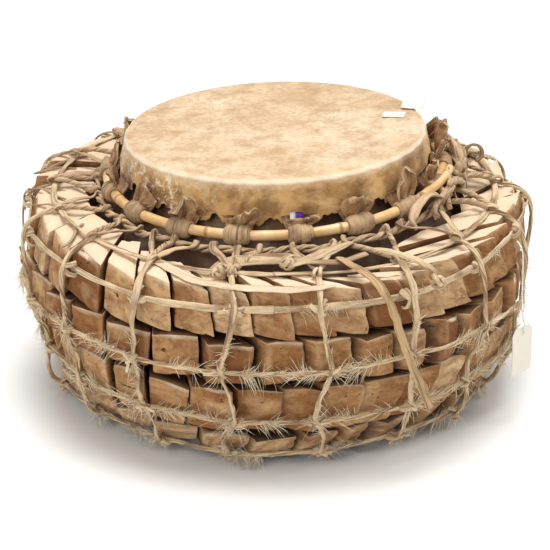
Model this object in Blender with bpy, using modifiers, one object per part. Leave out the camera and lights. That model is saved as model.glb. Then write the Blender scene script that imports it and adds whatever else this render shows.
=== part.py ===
"""A hide-netted block drum: a hollow wooden kettle with a laced skin head, packed round with
four tiers of wooden blocks that a net of rawhide strips holds in place.

Metres, +Z up. The origin is the middle of the shell's flat foot. A bearing is an angle seen from
above, measured from the front (-Y) and growing towards the right (+X).
"""

import math
import random

import bmesh
import bpy
from mathutils import Matrix, Vector

# --- Driving dimensions -----------------------------------------------------------------------
CLEAR = 0.0003  # air left between pieces that touch

# The head and the hoop are out of level: (rise towards +X, rise towards +Y), metres per metre.
HEAD_SLOPE = (0.035, 0.0)
HOOP_SLOPE = (0.035, 0.039)

HEAD_RADIUS = 0.1590
HEAD_HEIGHT = 0.2776
SKIN = 0.0015
SKIRT_DROP = 0.0285

SHELL_WALL = 0.012
SHELL_STEPS = 36
# Outer profile of the shell from the rim down to the foot, as (radius, height).
SHELL_PROFILE = (
    (0.1540, 0.2740), (0.1535, 0.2430), (0.1590, 0.2240), (0.1730, 0.2050),
    (0.1880, 0.1900), (0.1980, 0.1700), (0.2025, 0.1400), (0.2010, 0.1050),
    (0.1940, 0.0700), (0.1760, 0.0350), (0.1480, 0.0120), (0.1150, 0.0000),
)
SHEAR_FROM, SHEAR_TO = 0.205, 0.250  # the shell's mouth leans with the head between these heights

HOOP_RADIUS = 0.1777
HOOP_HEIGHT = 0.234
CANE = 0.00525
SPLICE = 0.0042
TAB_COUNT = 18
FIRST_TAB = 8.0
TAB_WIDTH = 0.026
BINDING_WIDTH = 0.022
TAB_INSIDE, TAB_SKIN = 0.0063, 0.0011
BINDING_INSIDE, BINDING_THONG = 0.0079, 0.0015

MOUTH_RING_RADIUS = 0.1895
MOUTH_RING_DROP = 0.0115
MOUTH_THONG = 0.0034

UPRIGHT_COUNT = 18
FIRST_UPRIGHT = 10.0
STRIP = 0.0018
RING_STRIP = 0.0022
KNOT_SCALE = 1.9
KNOT_SHIFT = 0.0022

TOP_RING = (0.2350, 0.2088)
FOOT_RING = (0.1400, 0.0040)
# Where an upright runs, as (radius, height), from the top ring down and in to the foot ring.
UPRIGHT_PATH = (
    (0.2396, 0.2086), (0.2540, 0.2086), (0.2640, 0.2076), (0.2710, 0.2000), (0.2738, 0.1870),
    (0.2746, 0.1650), (0.2748, 0.1240), (0.2744, 0.1020), (0.2698, 0.0850), (0.2640, 0.0630),
    (0.2570, 0.0450), (0.2510, 0.0360), (0.2430, 0.0170), (0.2400, 0.0100), (0.2320, 0.0050),
    (0.1900, 0.0044), (0.1465, 0.0040),
)
NET_RING_HEIGHTS = (0.187, 0.124, 0.063, 0.017)
RING_POINTS = 3  # points of a net ring from one upright to the next

# Where the inner faces of a tier are, as (bearing, radius).
FIRST_INSIDE = ((-100, 0.1985), (-46, 0.2060), (-10, 0.2270), (20, 0.2330), (52, 0.2420),
                (64, 0.2290), (78, 0.2070), (100, 0.2040), (160, 0.2030), (260, 0.1985))
SECOND_INSIDE = ((-100, 0.2120), (-46, 0.2190), (0, 0.2310), (54, 0.2380), (160, 0.2240),
                 (260, 0.2120))
THIRD_INSIDE = ((-100, 0.2090), (-46, 0.2150), (0, 0.2240), (54, 0.2290), (160, 0.2180),
                (260, 0.2090))
FOURTH_INSIDE = ((-100, 0.1920), (-46, 0.1980), (0, 0.2080), (54, 0.2130), (160, 0.2020),
                 (260, 0.1920))
# A tier of blocks: heights, radius of the outer face at its top and bottom, where its inner faces
# are, how far it follows the lean, and which end stands proud (+1 right, -1 left, looking at the
# drum from outside).
TIERS = (
    {"low": 0.1570, "high": 0.2062, "top": 0.2610, "bottom": 0.2715, "inside": FIRST_INSIDE,
     "follows": 1.0, "blocks": 37, "proud": 1},
    {"low": 0.1055, "high": 0.1555, "top": 0.2720, "bottom": 0.2718, "inside": SECOND_INSIDE,
     "follows": 0.88, "blocks": 35, "proud": -1},
    {"low": 0.0450, "high": 0.1035, "top": 0.2665, "bottom": 0.2535, "inside": THIRD_INSIDE,
     "follows": 0.88, "blocks": 35, "proud": 1},
    {"low": 0.0120, "high": 0.0432, "top": 0.2480, "bottom": 0.2350, "inside": FOURTH_INSIDE,
     "follows": 0.88, "blocks": 31, "proud": -1},
)
# The first tier's tops and the net on them are higher towards the back: the most that they rise,
# where the rise starts on Y and how quickly it comes.
TOP_RISE, RISE_FROM, RISE_OVER = 0.0100, -0.265, 0.120
SECTORS = ("front", "right", "back_right", "back_left", "left")
# How far a joint between two blocks leans from the radius at its outer end: (bearing, degrees).
LEAN = ((-100, 7), (-46, 21), (0, 45), (38, 60), (54, 62), (76, 48), (90, 42), (160, 28),
        (210, 12), (260, 7))
CLOSER_WHERE_LEANING = 0.004  # share of a block's width, for each degree
SQUARED = 0.8  # how far a leaning block's inner end is sawn square, 0 to 1
INSIDE_LIMIT = {1: 0.1980, -1: 0.2045}  # least radius of a block's inner corners: top, bottom
LOUVRE = (0.004, 0.009)
BLOCK_GAP = (0.0005, 0.0014)
BAR = 0.0030  # a hidden bar that joins the blocks of one sector
BAR_DEPTH = 0.019

TAG_BEARING, TAG_FACING = 62.0, 45.0
TAG_TIE = (0.2765, 0.2010)
TAG_SIZE = (0.032, 0.052, 0.0010)
TAG_TOP = (0.2880, 0.1080)
TAG_HOLE = 0.0022
STRING = 0.0008

STRAP = 0.0026
# The loose strap's route as (bearing, radius, height), from the lacing to its cut end.
STRAP_ROUTE = (
    (16.0, 0.2240, 0.2160), (17.5, 0.2380, 0.2152), (19.0, 0.2520, 0.2140), (20.3, 0.2650, 0.2115),
    (21.4, 0.2750, 0.2050), (22.4, 0.2815, 0.1950), (23.6, 0.2842, 0.1780), (25.2, 0.2848, 0.1540),
    (27.0, 0.2885, 0.1260), (29.6, 0.2860, 0.1000), (33.0, 0.2805, 0.0670),
)
LABEL = (0.024, 0.017, 0.0005)

# Sub-part colours (linear), roughness.
LOOKS = {
    "shell": ((0.100, 0.055, 0.035), 0.60),
    "skin": ((0.700, 0.560, 0.360), 0.50),
    "cane": ((0.740, 0.560, 0.280), 0.35),
    "thong": ((0.300, 0.220, 0.150), 0.70),
    "rawhide": ((0.560, 0.420, 0.270), 0.65),
    "block": ((0.420, 0.270, 0.160), 0.75),
    "paper": ((0.850, 0.850, 0.830), 0.60),
    "string": ((0.820, 0.810, 0.780), 0.80),
    "ribbon": ((0.200, 0.050, 0.400), 0.45),
}

chance = random.Random(19)


# --- Helpers ----------------------------------------------------------------------------------
def at(bearing, radius, height):
    """The point at this bearing in degrees."""
    angle = math.radians(bearing)
    return Vector((radius * math.sin(angle), -radius * math.cos(angle), height))


def raised(point, slope):
    """The point lifted onto a plane that leans by slope through the drum's axis."""
    return point + Vector((0.0, 0.0, point.x * slope[0] + point.y * slope[1]))


def settled(point):
    """The point moved up with the first tier's tops, which are lowest at the front."""
    low, high = TIERS[0]["low"], TIERS[0]["high"]
    share = min(max((point.z - low) / (high - low), 0.0), 1.0)
    back = max(point.y - RISE_FROM, 0.0)
    return point + Vector((0.0, 0.0, share * TOP_RISE * (1 - math.exp(-back / RISE_OVER))))


def between(table, value):
    """Straight-line reading of a table of (value, result) pairs."""
    for (low, first), (high, last) in zip(table, table[1:]):
        if low <= value <= high:
            return first + (last - first) * (value - low) / (high - low)
    raise ValueError(value)


def clear_scene():
    for obj in list(bpy.data.objects):
        bpy.data.objects.remove(obj, do_unlink=True)


def material(name):
    colour, roughness = LOOKS[name]
    made = bpy.data.materials.new(name)
    made.use_nodes = True
    shader = made.node_tree.nodes["Principled BSDF"]
    shader.inputs["Base Color"].default_value = (*colour, 1.0)
    shader.inputs["Roughness"].default_value = roughness
    made.diffuse_color = (*colour, 1.0)
    return made


def add(name, data, look):
    """A new object in the drum's collection."""
    obj = bpy.data.objects.new(name, data)
    data.materials.append(MATERIALS[look])
    PIECES.objects.link(obj)
    return obj


def strip(name, paths, radius, look, closed=False, sizes=None, resolution=0):
    """One or more round or square-sectioned strips along the paths, as one curve object."""
    curve = bpy.data.curves.new(name, "CURVE")
    curve.dimensions = "3D"
    curve.twist_mode = "Z_UP"
    curve.bevel_depth = radius
    curve.bevel_resolution = resolution
    curve.use_fill_caps = not closed
    for path in paths:
        spline = curve.splines.new("POLY")
        spline.points.add(len(path) - 1)
        for index, (point, place) in enumerate(zip(spline.points, path)):
            point.co = (*place, 1.0)
            if sizes:
                point.radius = sizes[index]
        spline.use_cyclic_u = closed
    return add(name, curve, look)


def smooth_route(points, steps):
    """Points along a Catmull-Rom curve through the route's own points."""
    ends = [points[0] * 2 - points[1], *points, points[-1] * 2 - points[-2]]
    route = []
    for a, b, c, d in zip(ends, ends[1:], ends[2:], ends[3:]):
        for step in range(steps):
            t = step / steps
            route.append(
                0.5 * (2 * b + (c - a) * t + (2 * a - 5 * b + 4 * c - d) * t**2
                       + (3 * b - a - 3 * c + d) * t**3)
            )
    return [*route, points[-1]]


def turned(name, profile, look, steps=SHELL_STEPS):
    """A solid of revolution; the profile runs from the axis, down the outer side, to the axis."""
    mesh = bpy.data.meshes.new(name)
    edges = [(i, i + 1) for i in range(len(profile) - 1)]
    mesh.from_pydata([(radius, 0.0, height) for radius, height in profile], edges, [])
    obj = add(name, mesh, look)
    screw = obj.modifiers.new("Turn", "SCREW")
    screw.steps = screw.render_steps = steps
    screw.use_merge_vertices = True
    screw.merge_threshold = 0.00005
    return obj


def applied(obj):
    """The object with its modifiers made part of its mesh."""
    mesh = bpy.data.meshes.new_from_object(obj.evaluated_get(bpy.context.evaluated_depsgraph_get()))
    old, obj.data = obj.data, mesh
    obj.modifiers.clear()
    bpy.data.meshes.remove(old)
    return obj


def applied_mesh(curve_object):
    """The curve as a mesh object whose caps are welded to its sides."""
    graph = bpy.context.evaluated_depsgraph_get()
    mesh = bpy.data.meshes.new_from_object(curve_object.evaluated_get(graph))
    shapes = bmesh.new()
    shapes.from_mesh(mesh)
    bmesh.ops.remove_doubles(shapes, verts=shapes.verts, dist=0.00001)
    shapes.to_mesh(mesh)
    shapes.free()
    name = curve_object.name
    matrix = curve_object.matrix_world.copy()
    bpy.data.objects.remove(curve_object)
    obj = bpy.data.objects.new(name, mesh)
    PIECES.objects.link(obj)
    obj.matrix_world = matrix
    return obj


# --- Shell and head ---------------------------------------------------------------------------
def lean_with_head(obj):
    """Shears the upper part of a turned piece so that its top is parallel to the head."""
    for vert in obj.data.vertices:
        share = (vert.co.z - SHEAR_FROM) / (SHEAR_TO - SHEAR_FROM)
        share = min(max(share, 0.0), 1.0)
        vert.co.z += share * (vert.co.x * HEAD_SLOPE[0] + vert.co.y * HEAD_SLOPE[1])


def make_shell():
    outside = list(SHELL_PROFILE)
    hollow = [(radius - SHELL_WALL, height) for radius, height in outside[:-1]]
    floor = (outside[-1][0] - SHELL_WALL, SHELL_WALL)
    hollow[-1] = (hollow[-1][0], hollow[-1][1] + SHELL_WALL)
    profile = [(0.0, floor[1]), floor, *reversed(hollow), *outside, (0.0, 0.0)]
    shell = applied(turned("shell", profile, "shell"))
    lean_with_head(shell)


def make_head():
    """The skin: a flat membrane that turns down over the shell's rim into a short skirt."""
    top, edge = HEAD_HEIGHT, HEAD_RADIUS
    outer = [(0.0, top), (edge - 0.004, top), (edge - 0.001, top - 0.001), (edge, top - 0.0045),
             (edge + 0.001, top - 0.015), (edge + 0.004, top - SKIRT_DROP)]
    inner = [(max(radius - SKIN, 0.0), height - SKIN) for radius, height in outer[:4]]
    inner += [(edge + 0.001 - SKIN, top - 0.015), (edge + 0.004 - SKIN, top - SKIRT_DROP)]
    head = applied(turned("drum_head", [*outer, *reversed(inner)], "skin"))
    for vert in head.data.vertices:
        share = min(max((top - 0.0045 - vert.co.z) / (SKIRT_DROP - 0.0045), 0.0), 1.0)
        slope = [a + (b - a) * share for a, b in zip(HEAD_SLOPE, HOOP_SLOPE)]
        vert.co = raised(vert.co, slope)


# --- Hoop, tabs and lacing --------------------------------------------------------------------
def hoop_point(bearing, out=0.0, up=0.0):
    """A point beside the hoop's centre line, this far outwards and upwards from it."""
    centre = raised(at(bearing, HOOP_RADIUS, HOOP_HEIGHT), HOOP_SLOPE)
    return centre + at(bearing, out, up)


def make_hoop():
    bearings = [step * 360 / 54 for step in range(54)]
    strip("cane_hoop", [[hoop_point(b) for b in bearings]], CANE, "cane", closed=True, resolution=1)
    # The cane's other end lies along the outside of the hoop, past where the two are bound.
    beside = (BINDING_INSIDE + BINDING_THONG + SPLICE + 0.0012) * math.sqrt(0.5)
    route = [hoop_point(52 + 3.2 * step, beside, beside) for step in range(8)]
    strip("hoop_splice", [route], SPLICE, "cane", resolution=1)


def tab_bearings():
    return [FIRST_TAB + 360 / TAB_COUNT * step for step in range(TAB_COUNT)]


def wrapped(name, width, ring_rows, band_rows, thickness, outward, look):
    """A continuous ring of skin or thong beside the hoop with a band across the hoop at each tab.

    Rows are (out, up) offsets from the hoop's centre line. The bands go on from the last ring row.
    Outward is +1 where the rows run over the cane from the inside, and -1 the other way round.
    """
    half = math.degrees(width / 2 / HOOP_RADIUS)
    pitch = 360 / TAB_COUNT
    shapes = bmesh.new()
    bearings = []
    for bearing in tab_bearings():
        bearings += [bearing - half, bearing + half, bearing + pitch / 2]
    ring = [[shapes.verts.new(hoop_point(b, *offset)) for b in bearings] for offset in ring_rows]
    for upper, lower in zip(ring, ring[1:]):
        for index in range(len(bearings)):
            after = (index + 1) % len(bearings)
            shapes.faces.new((upper[after], upper[index], lower[index], lower[after]))
    for first in range(0, len(bearings), 3):
        pair = [ring[-1][first], ring[-1][first + 1]]
        for offset in band_rows:
            row = [shapes.verts.new(hoop_point(b, *offset)) for b in bearings[first:first + 2]]
            shapes.faces.new((pair[1], pair[0], row[0], row[1]))
            pair = row
    mesh = bpy.data.meshes.new(name)
    shapes.to_mesh(mesh)
    shapes.free()
    obj = add(name, mesh, look)
    solid = obj.modifiers.new("Thickness", "SOLIDIFY")
    solid.thickness = thickness
    solid.offset = outward
    solid.use_even_offset = True


def arc(radius, start, end, steps):
    """Points round the cane from one angle to another, as (out, up); 90 degrees is on top."""
    angles = [math.radians(start + (end - start) * step / steps) for step in range(steps + 1)]
    return [(radius * math.cos(angle), radius * math.sin(angle)) for angle in angles]


def make_tabs_and_bindings():
    """The skirt's lower edge runs on into tabs rolled over the cane, and a thong binds each one.

    The thong goes on from one binding to the next along the underside of the cane.
    """
    skirt_edge = [(-0.0138, 0.0140), (-0.0128, 0.0100)]
    wrapped("skin_tabs", TAB_WIDTH, skirt_edge, arc(TAB_INSIDE, 118, -150, 6), TAB_SKIN, 1, "skin")
    underside = arc(BINDING_INSIDE, -104, -76, 1)
    wrapped("tab_bindings", BINDING_WIDTH, underside, arc(BINDING_INSIDE, -45, 92, 4),
            BINDING_THONG, -1, "thong")


def mouth_ring_point(bearing, out=0.0, up=0.0):
    centre = at(bearing, MOUTH_RING_RADIUS, HOOP_HEIGHT - MOUTH_RING_DROP)
    return raised(centre, HOOP_SLOPE) + at(bearing, out, up)


def make_lacing():
    """The twisted ring under the hoop, and the zigzag thong from it to the net's top ring."""
    bearings = [step * 360 / 54 for step in range(54)]
    strip("mouth_ring", [[mouth_ring_point(b) for b in bearings]], MOUTH_THONG, "thong", closed=True)
    beside = (MOUTH_THONG + STRIP + 0.0006) * math.sqrt(0.5)
    route = []
    for step in range(UPRIGHT_COUNT):
        low = FIRST_UPRIGHT + 360 / UPRIGHT_COUNT * step
        high = low + 180 / UPRIGHT_COUNT
        inner = TOP_RING[0] - 0.0062
        route += [
            settled(at(low - 1.2, inner, TOP_RING[1] + 0.0006)),
            settled(at(low + 1.2, inner, TOP_RING[1] + 0.0006)),
            mouth_ring_point(high - 1.5, beside, beside),
            mouth_ring_point(high + 1.5, beside, beside),
        ]
    strip("hoop_lacing", [route], STRIP, "rawhide", closed=True)


# --- Blocks -----------------------------------------------------------------------------------
class Cut:
    """The upright plane between two neighbouring blocks, leaning from the radius."""

    def __init__(self, bearing, radius, middle, follows):
        self.bearing = bearing
        lean = between(LEAN, (bearing + 100) % 360 - 100) * follows
        angle = math.radians(bearing)
        outward = Vector((math.sin(angle), -math.cos(angle), 0.0))
        self.along = Vector((math.cos(angle), math.sin(angle), 0.0))
        turn = math.radians(lean)
        self.inward = -outward * math.cos(turn) - self.along * math.sin(turn)
        self.across = self.inward.cross(Vector((0, 0, 1)))
        self.across *= math.copysign(1.0, self.across.dot(self.along))
        self.start = outward * radius
        self.middle = middle
        self.tip = math.tan(math.radians(chance.uniform(-5, 5)))

    def reach(self, radius, height, gap):
        """The point of the plane at this distance from the axis, moved off it by the gap."""
        origin = self.start + self.along * self.tip * (height - self.middle) + self.across * gap
        half = origin.dot(self.inward)
        under_root = max(half * half - origin.length_squared + radius * radius, 0.0)
        point = origin + self.inward * (-half - math.sqrt(under_root))
        return Vector((point.x, point.y, height))


def joint_bearings(tier):
    """Bearings of the joints between a tier's blocks, closer together where the blocks lean."""
    start = -100 + chance.uniform(0, 8)
    bearings, bearing = [], start
    steps = []
    for _ in range(tier["blocks"]):
        lean = between(LEAN, (bearing + 100) % 360 - 100)
        step = (1 - CLOSER_WHERE_LEANING * lean) * chance.uniform(0.86, 1.14)
        steps.append(step)
        bearing += step * 10.3
    for step in steps:
        bearings.append(start)
        start += step * 360 / sum(steps)
    return bearings


def add_block(shapes, tier, left, right):
    """One block between two cuts: a cube whose corners move to where its faces meet."""
    inner = between(tier["inside"], (left.bearing + 105) % 360 - 100)
    set_back = chance.uniform(*LOUVRE)
    shorter = chance.uniform(0.0, 0.0035)
    drop, rise = chance.uniform(0.0, 0.005), chance.uniform(0.0, 0.003)
    slant = chance.uniform(-0.0035, 0.0035)
    gaps = {-1: chance.uniform(*BLOCK_GAP), 1: -chance.uniform(*BLOCK_GAP)}
    corners = bmesh.ops.create_cube(shapes, size=2.0)["verts"]
    for vert in corners:
        side, out, up = (round(value) for value in vert.co)
        cut = left if side < 0 else right
        if up > 0:
            height = tier["high"] - drop - max(0.0, slant * side)
        else:
            height = tier["low"] + rise + max(0.0, slant * side)
        if out < 0:
            radius = (tier["top"] if up > 0 else tier["bottom"]) - shorter
            if side != tier["proud"]:
                radius -= set_back
        else:
            radius = inner + (0.0 if up > 0 else 0.006)
        vert.co = cut.reach(radius, height, gaps[side])
        if out > 0 and side > 0:
            tip = left.reach(radius, height, gaps[-1])
            square = vert.co + cut.inward * SQUARED * max((tip - vert.co).dot(cut.inward), 0.0)
            least = min(radius, INSIDE_LIMIT[up])
            vert.co = square if square.xy.length > least else cut.reach(least, height, gaps[side])
        if tier is TIERS[0] and up > 0:
            vert.co = settled(vert.co)


def add_sector(name, blocks, tier):
    """The blocks of one sector, joined by a bar through them behind their outer faces."""
    shapes = bmesh.new()
    route = []
    radius = max(tier["top"], tier["bottom"]) - BAR_DEPTH
    height = (tier["low"] + tier["high"]) / 2
    for left, right in blocks:
        add_block(shapes, tier, left, right)
        route.append((left.reach(radius, height, 0.0) + right.reach(radius, height, 0.0)) / 2)
    mesh = bpy.data.meshes.new(name)
    shapes.to_mesh(mesh)
    shapes.free()
    row = add(name, mesh, "block")
    bar = applied_mesh(strip(f"{name}_bar", [route], BAR, "block"))
    PIECES.objects.unlink(bar)
    HELPERS.objects.link(bar)
    bar.hide_render = True
    bar.display_type = "WIRE"
    joined = row.modifiers.new("Join", "BOOLEAN")
    joined.operation = "UNION"
    joined.solver = "EXACT"
    joined.object = bar


def make_blocks():
    for number, tier in enumerate(TIERS, 1):
        middle = (tier["low"] + tier["high"]) / 2
        widest = max(tier["top"], tier["bottom"])
        bearings = joint_bearings(tier)
        cuts = [Cut(bearing, widest, middle, tier["follows"]) for bearing in bearings]
        sectors = {sector: [] for sector in SECTORS}
        for index, bearing in enumerate(bearings):
            centre = (bearing + 5 + 36) % 360
            pair = (cuts[index], cuts[(index + 1) % len(cuts)])
            sectors[SECTORS[int(centre // 72)]].append(pair)
        for sector, blocks in sectors.items():
            # The bar follows the blocks in order, also in the sector where the count starts.
            blocks.sort(key=lambda pair: (pair[0].bearing + 36 - 72 * SECTORS.index(sector)) % 360)
            add_sector(f"blocks_{number}_{sector}", blocks, tier)


# --- Net --------------------------------------------------------------------------------------
def upright_radius(height):
    """How far out an upright is at this height, on its way down the drum's side."""
    side = [(z, radius) for radius, z in UPRIGHT_PATH[3:-3]]
    return between(sorted(side), height)


def make_uprights():
    for step in range(UPRIGHT_COUNT):
        bearing = FIRST_UPRIGHT + 360 / UPRIGHT_COUNT * step
        route = [settled(at(bearing, radius, height)) for radius, height in UPRIGHT_PATH]
        strip(f"net_upright_{step + 1:02d}", [route], STRIP, "rawhide")


def make_net_rings():
    """Rings round the blocks. Each is knotted to every upright that it crosses."""
    count = UPRIGHT_COUNT * RING_POINTS
    for number, height in enumerate(NET_RING_HEIGHTS, 1):
        radius = upright_radius(height) + STRIP + CLEAR + RING_STRIP + 0.0007
        route, sizes = [], []
        for step in range(count):
            knot = step % RING_POINTS == 0
            bearing = FIRST_UPRIGHT + step * 360 / count
            route.append(settled(at(bearing, radius + (KNOT_SHIFT if knot else 0.0), height)))
            sizes.append(KNOT_SCALE if knot else 1.0)
        strip(f"net_ring_{number}", [route], RING_STRIP, "rawhide", closed=True, sizes=sizes)
    bearings = [step * 360 / 54 for step in range(54)]
    top = [settled(at(b, *TOP_RING)) for b in bearings]
    strip("net_top_ring", [top], 0.0022, "rawhide", closed=True)
    strip("foot_ring", [[at(b, *FOOT_RING) for b in bearings]], 0.0026, "rawhide", closed=True)


# --- Loose pieces -----------------------------------------------------------------------------
def make_strap():
    route = smooth_route([settled(at(*place)) for place in STRAP_ROUTE], 3)
    strip("loose_strap", [route], STRAP, "rawhide", resolution=0)


def make_curled_end():
    """A strip's stiff end that stands up from the lacing in an open curl."""
    middle, size = at(95, 0.2150, 0.2405), 0.0085
    across = at(95, 1.0, 0.0)
    turns = [math.radians(-80 + 36 * step) for step in range(9)]
    route = [
        middle + across * size * math.cos(turn) + Vector((0, 0.0012 * step, size * math.sin(turn)))
        for step, turn in enumerate(turns)
    ]
    strip("curled_end", [route], 0.0022, "rawhide")


def make_tag():
    """A paper tag on a string. Its hinge is where the string is tied to the net."""
    tie = bpy.data.objects.new("tag_tie", None)
    tie.location = at(TAG_BEARING, *TAG_TIE)
    PIECES.objects.link(tie)

    width, height, thick = TAG_SIZE
    clip = 0.006
    outline = bpy.data.curves.new("swing_tag", "CURVE")
    outline.dimensions = "2D"
    outline.fill_mode = "BOTH"
    outline.extrude = thick / 2
    half = width / 2
    corners = [(-half, -height), (half, -height), (half, -clip), (half - clip, 0.0),
               (clip - half, 0.0), (-half, -clip)]
    hole = [
        (TAG_HOLE * math.cos(math.tau * step / 10), TAG_HOLE * math.sin(math.tau * step / 10) - 0.0065)
        for step in range(10)
    ]
    for points in (corners, hole):
        spline = outline.splines.new("POLY")
        spline.points.add(len(points) - 1)
        for point, (across, up) in zip(spline.points, points):
            point.co = (across, up, 0.0, 1.0)
        spline.use_cyclic_u = True
    tag = add("swing_tag", outline, "paper")
    top = at(TAG_BEARING, *TAG_TOP)
    tag.rotation_euler = (math.radians(90), 0.0, math.radians(TAG_FACING))
    tag.parent = tie
    tag.location = top - tie.location

    facing = at(TAG_FACING, 1.0, 0.0)
    hole_front = top - Vector((0, 0, 0.0065)) + facing * (thick / 2 + CLEAR + STRING)
    route = [
        at(TAG_BEARING, 0.2765, 0.2010), at(TAG_BEARING, 0.2805, 0.1960),
        at(TAG_BEARING, 0.2833, 0.1870), at(TAG_BEARING, 0.2845, 0.1650),
        at(TAG_BEARING, 0.2852, 0.1400), at(TAG_BEARING, 0.2872, 0.1200),
        top + facing * 0.0018 + Vector((0, 0, 0.003)), hole_front,
    ]
    string = strip("tag_string", [smooth_route(route, 3)], STRING, "string", resolution=2)
    string.parent = tie
    string.location = -tie.location


def on_head(across, back, up):
    return raised(Vector((across, back, HEAD_HEIGHT + up)), HEAD_SLOPE)


def add_plate(shapes, centre, size, turn, tilt):
    """A thin plate, turned about the upright axis and tilted about its own long side."""
    plate = bmesh.ops.create_cube(shapes, size=1.0)["verts"]
    for vert in plate:
        vert.co = Vector((vert.co.x * size[0], vert.co.y * size[1], vert.co.z * size[2]))
        vert.co.z += vert.co.y * math.tan(math.radians(tilt))
        turned_point = Matrix.Rotation(math.radians(turn), 3, "Z") @ vert.co
        vert.co = centre + raised(turned_point, HEAD_SLOPE)


def make_plate(name, centre, size, turn, tilt, look):
    shapes = bmesh.new()
    add_plate(shapes, centre, size, turn, tilt)
    mesh = bpy.data.meshes.new(name)
    shapes.to_mesh(mesh)
    shapes.free()
    add(name, mesh, look)


def make_labels():
    """Two blank paper stickers near the edge of the head, one of them standing past the rim."""
    make_plate("stock_label", on_head(0.127, 0.0255, 0.0006), LABEL, -12, 0, "paper")
    make_plate("rim_label", on_head(0.1487, 0.047, 0.0032), LABEL, -12, 8, "paper")


def make_ribbon():
    """A scrap of ribbon caught between the skirt and a tab."""
    centre = hoop_point(7, -0.0080, 0.0165)
    make_plate("ribbon_scrap", centre, (0.015, 0.0008, 0.007), 7, 0, "ribbon")


clear_scene()
PIECES = bpy.data.collections.new("netted_block_drum")
bpy.context.scene.collection.children.link(PIECES)
HELPERS = bpy.data.collections.new("helpers")
bpy.context.scene.collection.children.link(HELPERS)
MATERIALS = {name: material(name) for name in LOOKS}

make_shell()
make_head()
make_hoop()
make_tabs_and_bindings()
make_lacing()
make_blocks()
make_uprights()
make_net_rings()
make_strap()
make_curled_end()
make_tag()
make_labels()
make_ribbon()
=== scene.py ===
"""The looks of a hide-netted block drum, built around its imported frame.

Metres, +Z up, in the frame of the part. A bearing is an angle in degrees seen from above, measured
from the front (-Y) and growing towards the right (+X).
"""

import math
from collections import namedtuple
from itertools import product

import bpy
import numpy as np
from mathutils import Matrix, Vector, noise
from mathutils.bvhtree import BVHTree


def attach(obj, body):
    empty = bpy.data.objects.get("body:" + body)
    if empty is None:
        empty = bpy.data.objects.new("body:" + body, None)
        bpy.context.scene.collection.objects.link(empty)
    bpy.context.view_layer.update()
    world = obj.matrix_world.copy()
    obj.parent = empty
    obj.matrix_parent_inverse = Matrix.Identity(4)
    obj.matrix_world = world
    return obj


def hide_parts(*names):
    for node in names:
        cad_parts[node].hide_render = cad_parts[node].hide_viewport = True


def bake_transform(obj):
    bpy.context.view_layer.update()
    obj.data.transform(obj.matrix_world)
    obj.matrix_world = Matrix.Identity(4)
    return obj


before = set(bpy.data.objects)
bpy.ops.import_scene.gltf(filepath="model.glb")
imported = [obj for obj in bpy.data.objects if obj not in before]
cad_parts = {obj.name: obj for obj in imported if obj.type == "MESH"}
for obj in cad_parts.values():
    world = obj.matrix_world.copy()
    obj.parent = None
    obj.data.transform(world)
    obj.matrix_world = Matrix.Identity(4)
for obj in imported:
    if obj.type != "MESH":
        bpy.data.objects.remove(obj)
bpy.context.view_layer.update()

# --- Sizes shared with the part ----------------------------------------------------------------
HEAD_SLOPE = (0.035, 0.0)  # rise of the head towards +X and +Y, metres per metre
HOOP_SLOPE = (0.035, 0.039)
HEAD_RADIUS, HEAD_HEIGHT, SKIN = 0.1590, 0.2776, 0.0014
HOOP_RADIUS, HOOP_HEIGHT, CANE = 0.1777, 0.234, 0.00525
TABS, FIRST_TAB = 18, 8.0
MOUTH_RING_RADIUS, MOUTH_RING_DROP = 0.1895, 0.0115
UPRIGHTS, FIRST_UPRIGHT = 18, 10.0
NET_RING_HEIGHTS = (0.187, 0.124, 0.063, 0.017)
SHELL_WALL = 0.012
SHELL_PROFILE = (
    (0.1540, 0.2740), (0.1535, 0.2430), (0.1590, 0.2240), (0.1730, 0.2050),
    (0.1880, 0.1900), (0.1980, 0.1700), (0.2025, 0.1400), (0.2010, 0.1050),
    (0.1940, 0.0700), (0.1760, 0.0350), (0.1480, 0.0120), (0.1150, 0.0000),
)
SHEAR_FROM, SHEAR_TO = 0.205, 0.250
TIER_LOW, TIER_HIGH = 0.1570, 0.2062  # the first tier of blocks
TOP_RISE, RISE_FROM, RISE_OVER = 0.0100, -0.265, 0.120  # its tops are higher at the back
TAG_BEARING, TAG_FACING = 62.0, 45.0
TAG_SIZE = (0.032, 0.052, 0.0009)
TAG_TOP = (0.2880, 0.1080)
STRAP_ROUTE = (
    (16.0, 0.2240, 0.2160), (17.5, 0.2380, 0.2152), (19.0, 0.2520, 0.2140), (20.3, 0.2650, 0.2115),
    (21.4, 0.2750, 0.2050), (22.4, 0.2815, 0.1950), (23.6, 0.2842, 0.1780), (25.2, 0.2848, 0.1540),
    (27.0, 0.2885, 0.1260), (29.6, 0.2860, 0.1000), (33.0, 0.2805, 0.0670),
)

HAIR_RADIUS, HAIR_DROOP, HAIR_CLEARANCE = 0.00026, 0.10, 0.0006
UP = np.array([0.0, 0.0, 1.0])
LEVEL = np.array([1.0, 1.0, 0.0])

chance = np.random.default_rng(41)


# --- Places -------------------------------------------------------------------------------------
def around(steps):
    """Bearings at even steps round the drum."""
    return np.arange(steps) * 360 / steps


def turned(bearings, origin):
    """Bearings measured from another one, -180 to 180."""
    return (bearings - origin + 180) % 360 - 180


def at(bearing, radius, height):
    """Points at these bearings, as an array whose last axis is x, y, z."""
    angle = np.radians(bearing)
    parts = np.broadcast_arrays(radius * np.sin(angle), -radius * np.cos(angle), height)
    return np.stack(parts, axis=-1).astype(float)


def raised(points, slope):
    points = np.array(points, float)
    points[..., 2] += points[..., 0] * slope[0] + points[..., 1] * slope[1]
    return points


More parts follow.
